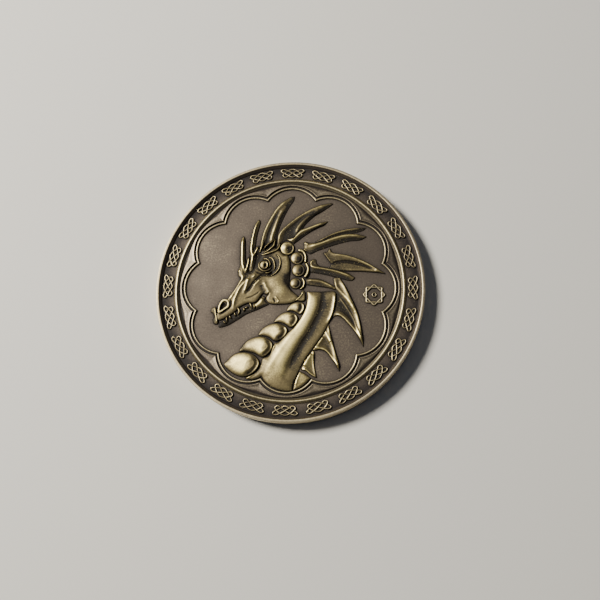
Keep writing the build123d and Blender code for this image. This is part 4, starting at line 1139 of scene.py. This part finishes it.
# Tapered strands of the head, as (line, width): teeth, and ridges round the eye and over the brow
strands = {
    "teeth": [
        ([(-8.45, -3.5), (-8.1, -4.2), (-8.35, -4.95)], 0.44), ([(-8.95, -4.35), (-8.75, -4.8), (-8.7, -5.15)], 0.38),
        ([(-9.75, -4.85), (-9.5, -5.3), (-9.2, -5.5)], 0.38), ([(-10.15, -5.1), (-10.1, -5.6), (-10, -6.15)], 0.44),
        ([(-10.65, -5.85), (-10.4, -6.15), (-10, -6.25)], 0.36), ([(-7.35, -3.55), (-7.3, -3.9), (-7.35, -4.3)], 0.44),
        ([(-7.2, -3.7), (-6.9, -3.55), (-6.55, -3.45)], 0.38), ([(-6.45, -2.7), (-6.2, -3.2), (-5.95, -3.8)], 0.42),
        ([(-5.65, -2.8), (-5.62, -3.3), (-5.62, -3.85)], 0.44),
    ],
    "eyelid": [
        ([(-4.75, 4.5), (-5.1, 4.1), (-5.1, 3.4), (-4.7, 2.9), (-4.1, 2.7), (-3.4, 2.95), (-2.95, 3.5)], 0.42),
        ([(-4.6, 4.75), (-4.1, 4.85), (-3.6, 4.6), (-3.3, 4.1), (-3.35, 3.6), (-3.6, 3.3)], 0.34),
        ([(-3.6, 5.15), (-3, 4.9), (-2.65, 4.3), (-2.5, 3.6), (-2.6, 3), (-2.9, 2.7)], 0.4),
        ([(-4.2, 2.35), (-3.5, 2.4), (-2.9, 2.75)], 0.3),
    ],
    "orbit_arc": [
        ([(-2.4, 5.6), (-1.95, 5.3), (-1.65, 4.6), (-1.6, 3.8), (-1.85, 2.95), (-2.4, 2.3), (-3.1, 1.85),
          (-3.8, 1.6)], 0.42),
    ],
    "brow_ridges": [
        ([(-4.9, 5.55), (-4.5, 5.6), (-3.86, 5.75), (-3.06, 6.05), (-2.26, 6.4), (-1.86, 7), (-1.75, 7.8)], 0.5),
        ([(-4.5, 5.9), (-3.9, 6.15), (-3.4, 6.55), (-2.85, 7.1), (-2.65, 7.8), (-2.6, 8.6)], 0.4),
        ([(-4.7, 6.2), (-4.2, 6.9), (-3.6, 7.5), (-3, 7.95), (-2.6, 8.5)], 0.32),
        ([(-5.15, 5.9), (-4.95, 6.5), (-4.7, 7.3), (-4.5, 8.2)], 0.42), ([(-4.2, 6.3), (-4.35, 6.6), (-4.1, 7)], 0.26),
    ],
}

# How a strand thins out: its width follows a sine over this part of a half turn
taperSpec = {"step": 0.06, "start": 0.1, "run": 0.86, "least": 0.12, "sink": 0.04}


# Strands as one piece. Each is pointed at its ends, and in between its width follows a sine of the way along it.
def makeStrands(node, nodes, height):
    parts = []
    for points, width in strands[node]:
        line = smoothLine(points, taperSpec["step"]) * art
        s = np.linspace(0, 1, len(line)) * taperSpec["run"] + taperSpec["start"]
        taper = np.clip(np.sin(np.pi * np.clip(s, 0, 1)), taperSpec["least"], 1)
        taper[[0, -1]] = 0
        parts.append(strandMesh(line, width, height, fieldLevel + taperSpec["sink"], taper=taper))
    makePiece(dragonName(node), *joined(parts), nodes, "dragon_relief", dragonFinish)


makeStrands("teeth", ["teeth"], 0.5)
makeStrands("eyelid", ["eyelid"], 0.5)
makeStrands("orbit_arc", ["orbit_arc"], 0.57)
makeStrands("brow_ridges", [], 0.56)
print("teeth and brow made")

star = {
    "centre": (14.0, -1.2), "half": 1.25, "strand": 0.4, "height": 0.24, "corner": 0.2, "ringRadius": 0.315,
    "ringStrand": 0.27,
}
chain = {
    "count": 8, "radius": 8.6, "loop": 3.7, "strand": 0.8, "height": 0.3, "weave": 0.05, "boss": 2.6,
    "bossHeight": 0.4, "bossShoulder": 0.35, "groovePart": 0.12, "grooveRadius": 1.6, "grooveWidth": 0.2,
    "bossReach": 0.3, "bossAround": 192,
}


# Star of two interlaced squares with rounded corners, and a small ring in its middle
def makeStar():
    centre = np.array(star["centre"]) * art
    reach = star["half"] * math.sqrt(2)
    parts = []
    for turn in (45, 90):
        line = rounded(arc(0, 0, reach, turn, turn + 270, 4), star["corner"])
        parts.append(strandMesh(line + centre, star["strand"], star["height"], fieldLevel, closed=True))
    ring = circle(0, 0, star["ringRadius"], 24)[0]
    parts.append(strandMesh(ring + centre, star["ringStrand"], star["height"], fieldLevel, closed=True))
    makePiece("starOrnament", *joined(parts), ["star_ornament"], "ornament_relief", borderFinish)


# Reverse: a chain of round loops whose strand rises and falls twice, and a boss whose section is a quarter of an
# ellipse with a bell-shaped groove
def makeReverseOrnament():
    parts = []
    a = np.arange(96) * 2 * np.pi / 96
    lift = chain["weave"] * np.sin(a * 2)
    for k in range(chain["count"]):
        at = 2 * np.pi * k / chain["count"]
        centre = chain["radius"] * np.array([math.cos(at), math.sin(at)])
        line = centre + chain["loop"] * np.stack([np.cos(a + at), np.sin(a + at)], 1)
        strand, height = chain["strand"], chain["height"]
        parts.append(strandMesh(line, strand, height, fieldLevel, lift=lift, closed=True, sides=11))
    points, quads, crest = joined(parts)
    makePiece("reverseChain", toReverse(points), quads, crest, ["reverse_chain"], "ornament_relief", borderFinish)

    u = np.linspace(0, 1, 24)
    r = chain["boss"] * (1 - u)
    dome = np.sqrt(1 - (1 - np.clip(u / chain["bossShoulder"], 0, 1))**2)
    groove = chain["groovePart"] * np.exp(-((r - chain["grooveRadius"]) / chain["grooveWidth"])**2)
    z = fieldLevel + chain["bossHeight"] * dome * (1 - groove)
    profile = np.vstack([[(0, fieldLevel)], [(chain["boss"], fieldLevel)], np.stack([r, z], 1)[1:]])
    points, quads = turnedMesh(profile, chain["bossAround"])
    crest = np.repeat(sectionCrest(profile, chain["bossReach"]), chain["bossAround"])
    makePiece("reverseBoss", toReverse(points), quads, crest, ["reverse_boss"], "ornament_relief", borderFinish)


makeStar()
makeReverseOrnament()
print("ornaments made")

# places and sizes of the lights in metres, and their power in watts
studio = {"world": (0.75, 0.82, 1.0), "worldStrength": 0.05, "floor": (0.78, 0.77, 0.75), "floorRoughness": 0.9}
lights = {
    "key": {"place": (-0.26, 0.11, 0.31), "size": 0.12, "power": 3.05, "colour": (1.0, 0.95, 0.83)},
    "sky": {"place": (0.06, 0.12, 0.4), "size": 0.3, "power": 0.05, "colour": (0.86, 0.92, 1.0)},
}
view = {
    "target": (1.91, -2.31, 3.0), "distance": 121.05, "azimuth": 17.99, "elevation": 74.6, "roll": -17.0,
    "lens": 44.4,
}


# Plain floor, two metres square, at the level that the coin lies on
def makeFloor():
    mesh = bpy.data.meshes.new("floor")
    mesh.from_pydata([(-1, -1, 0), (1, -1, 0), (1, 1, 0), (-1, 1, 0)], [], [(0, 1, 2, 3)])
    floor = bpy.data.objects.new("floor", mesh)
    bpy.context.scene.collection.objects.link(floor)
    material = bpy.data.materials.new("paleFloor")
    material.use_nodes = True
    shader = material.node_tree.nodes["Principled BSDF"]
    shader.inputs["Base Color"].default_value = (*studio["floor"], 1)
    shader.inputs["Roughness"].default_value = studio["floorRoughness"]
    mesh.materials.append(material)


# Faint even light from all round
def makeWorld():
    world = bpy.data.worlds.new("studio")
    world.use_nodes = True
    background = world.node_tree.nodes["Background"]
    background.inputs["Color"].default_value = (*studio["world"], 1)
    background.inputs["Strength"].default_value = studio["worldStrength"]
    bpy.context.scene.world = world


# Round area light that is turned to the coin's middle
def makeLight(name, values):
    data = bpy.data.lights.new(name, "AREA")
    data.shape = "DISK"
    data.size = values["size"]
    data.energy = values["power"]
    data.color = values["colour"]
    light = bpy.data.objects.new(name, data)
    light.location = values["place"]
    light.rotation_euler = (-Vector(values["place"])).to_track_quat("-Z", "Y").to_euler()
    bpy.context.scene.collection.objects.link(light)


# Camera at a distance from its target along an azimuth and elevation, rolled about its line of sight
def makeCamera():
    azimuth, elevation, roll = (math.radians(view[key]) for key in ("azimuth", "elevation", "roll"))
    flat = math.cos(elevation)
    back = Vector((math.sin(azimuth) * flat, -math.cos(azimuth) * flat, math.sin(elevation)))
    level = Vector((math.cos(azimuth), math.sin(azimuth), 0))
    right = level * math.cos(roll) + back.cross(level) * math.sin(roll)
    up = back.cross(right)
    camera = bpy.data.objects.new("camera", bpy.data.cameras.new("camera"))
    place = (Vector(view["target"]) + back * view["distance"]) * mm
    turn = Matrix((right, up, back)).transposed().to_4x4()
    camera.matrix_world = Matrix.Translation(place) @ turn
    camera.data.lens = view["lens"]
    camera.data.sensor_width = 36
    camera.data.clip_start = 0.001
    bpy.context.scene.collection.objects.link(camera)
    bpy.context.scene.camera = camera


makeFloor()
makeWorld()
for name, values in lights.items():
    makeLight(name, values)
makeCamera()
print("studio made")
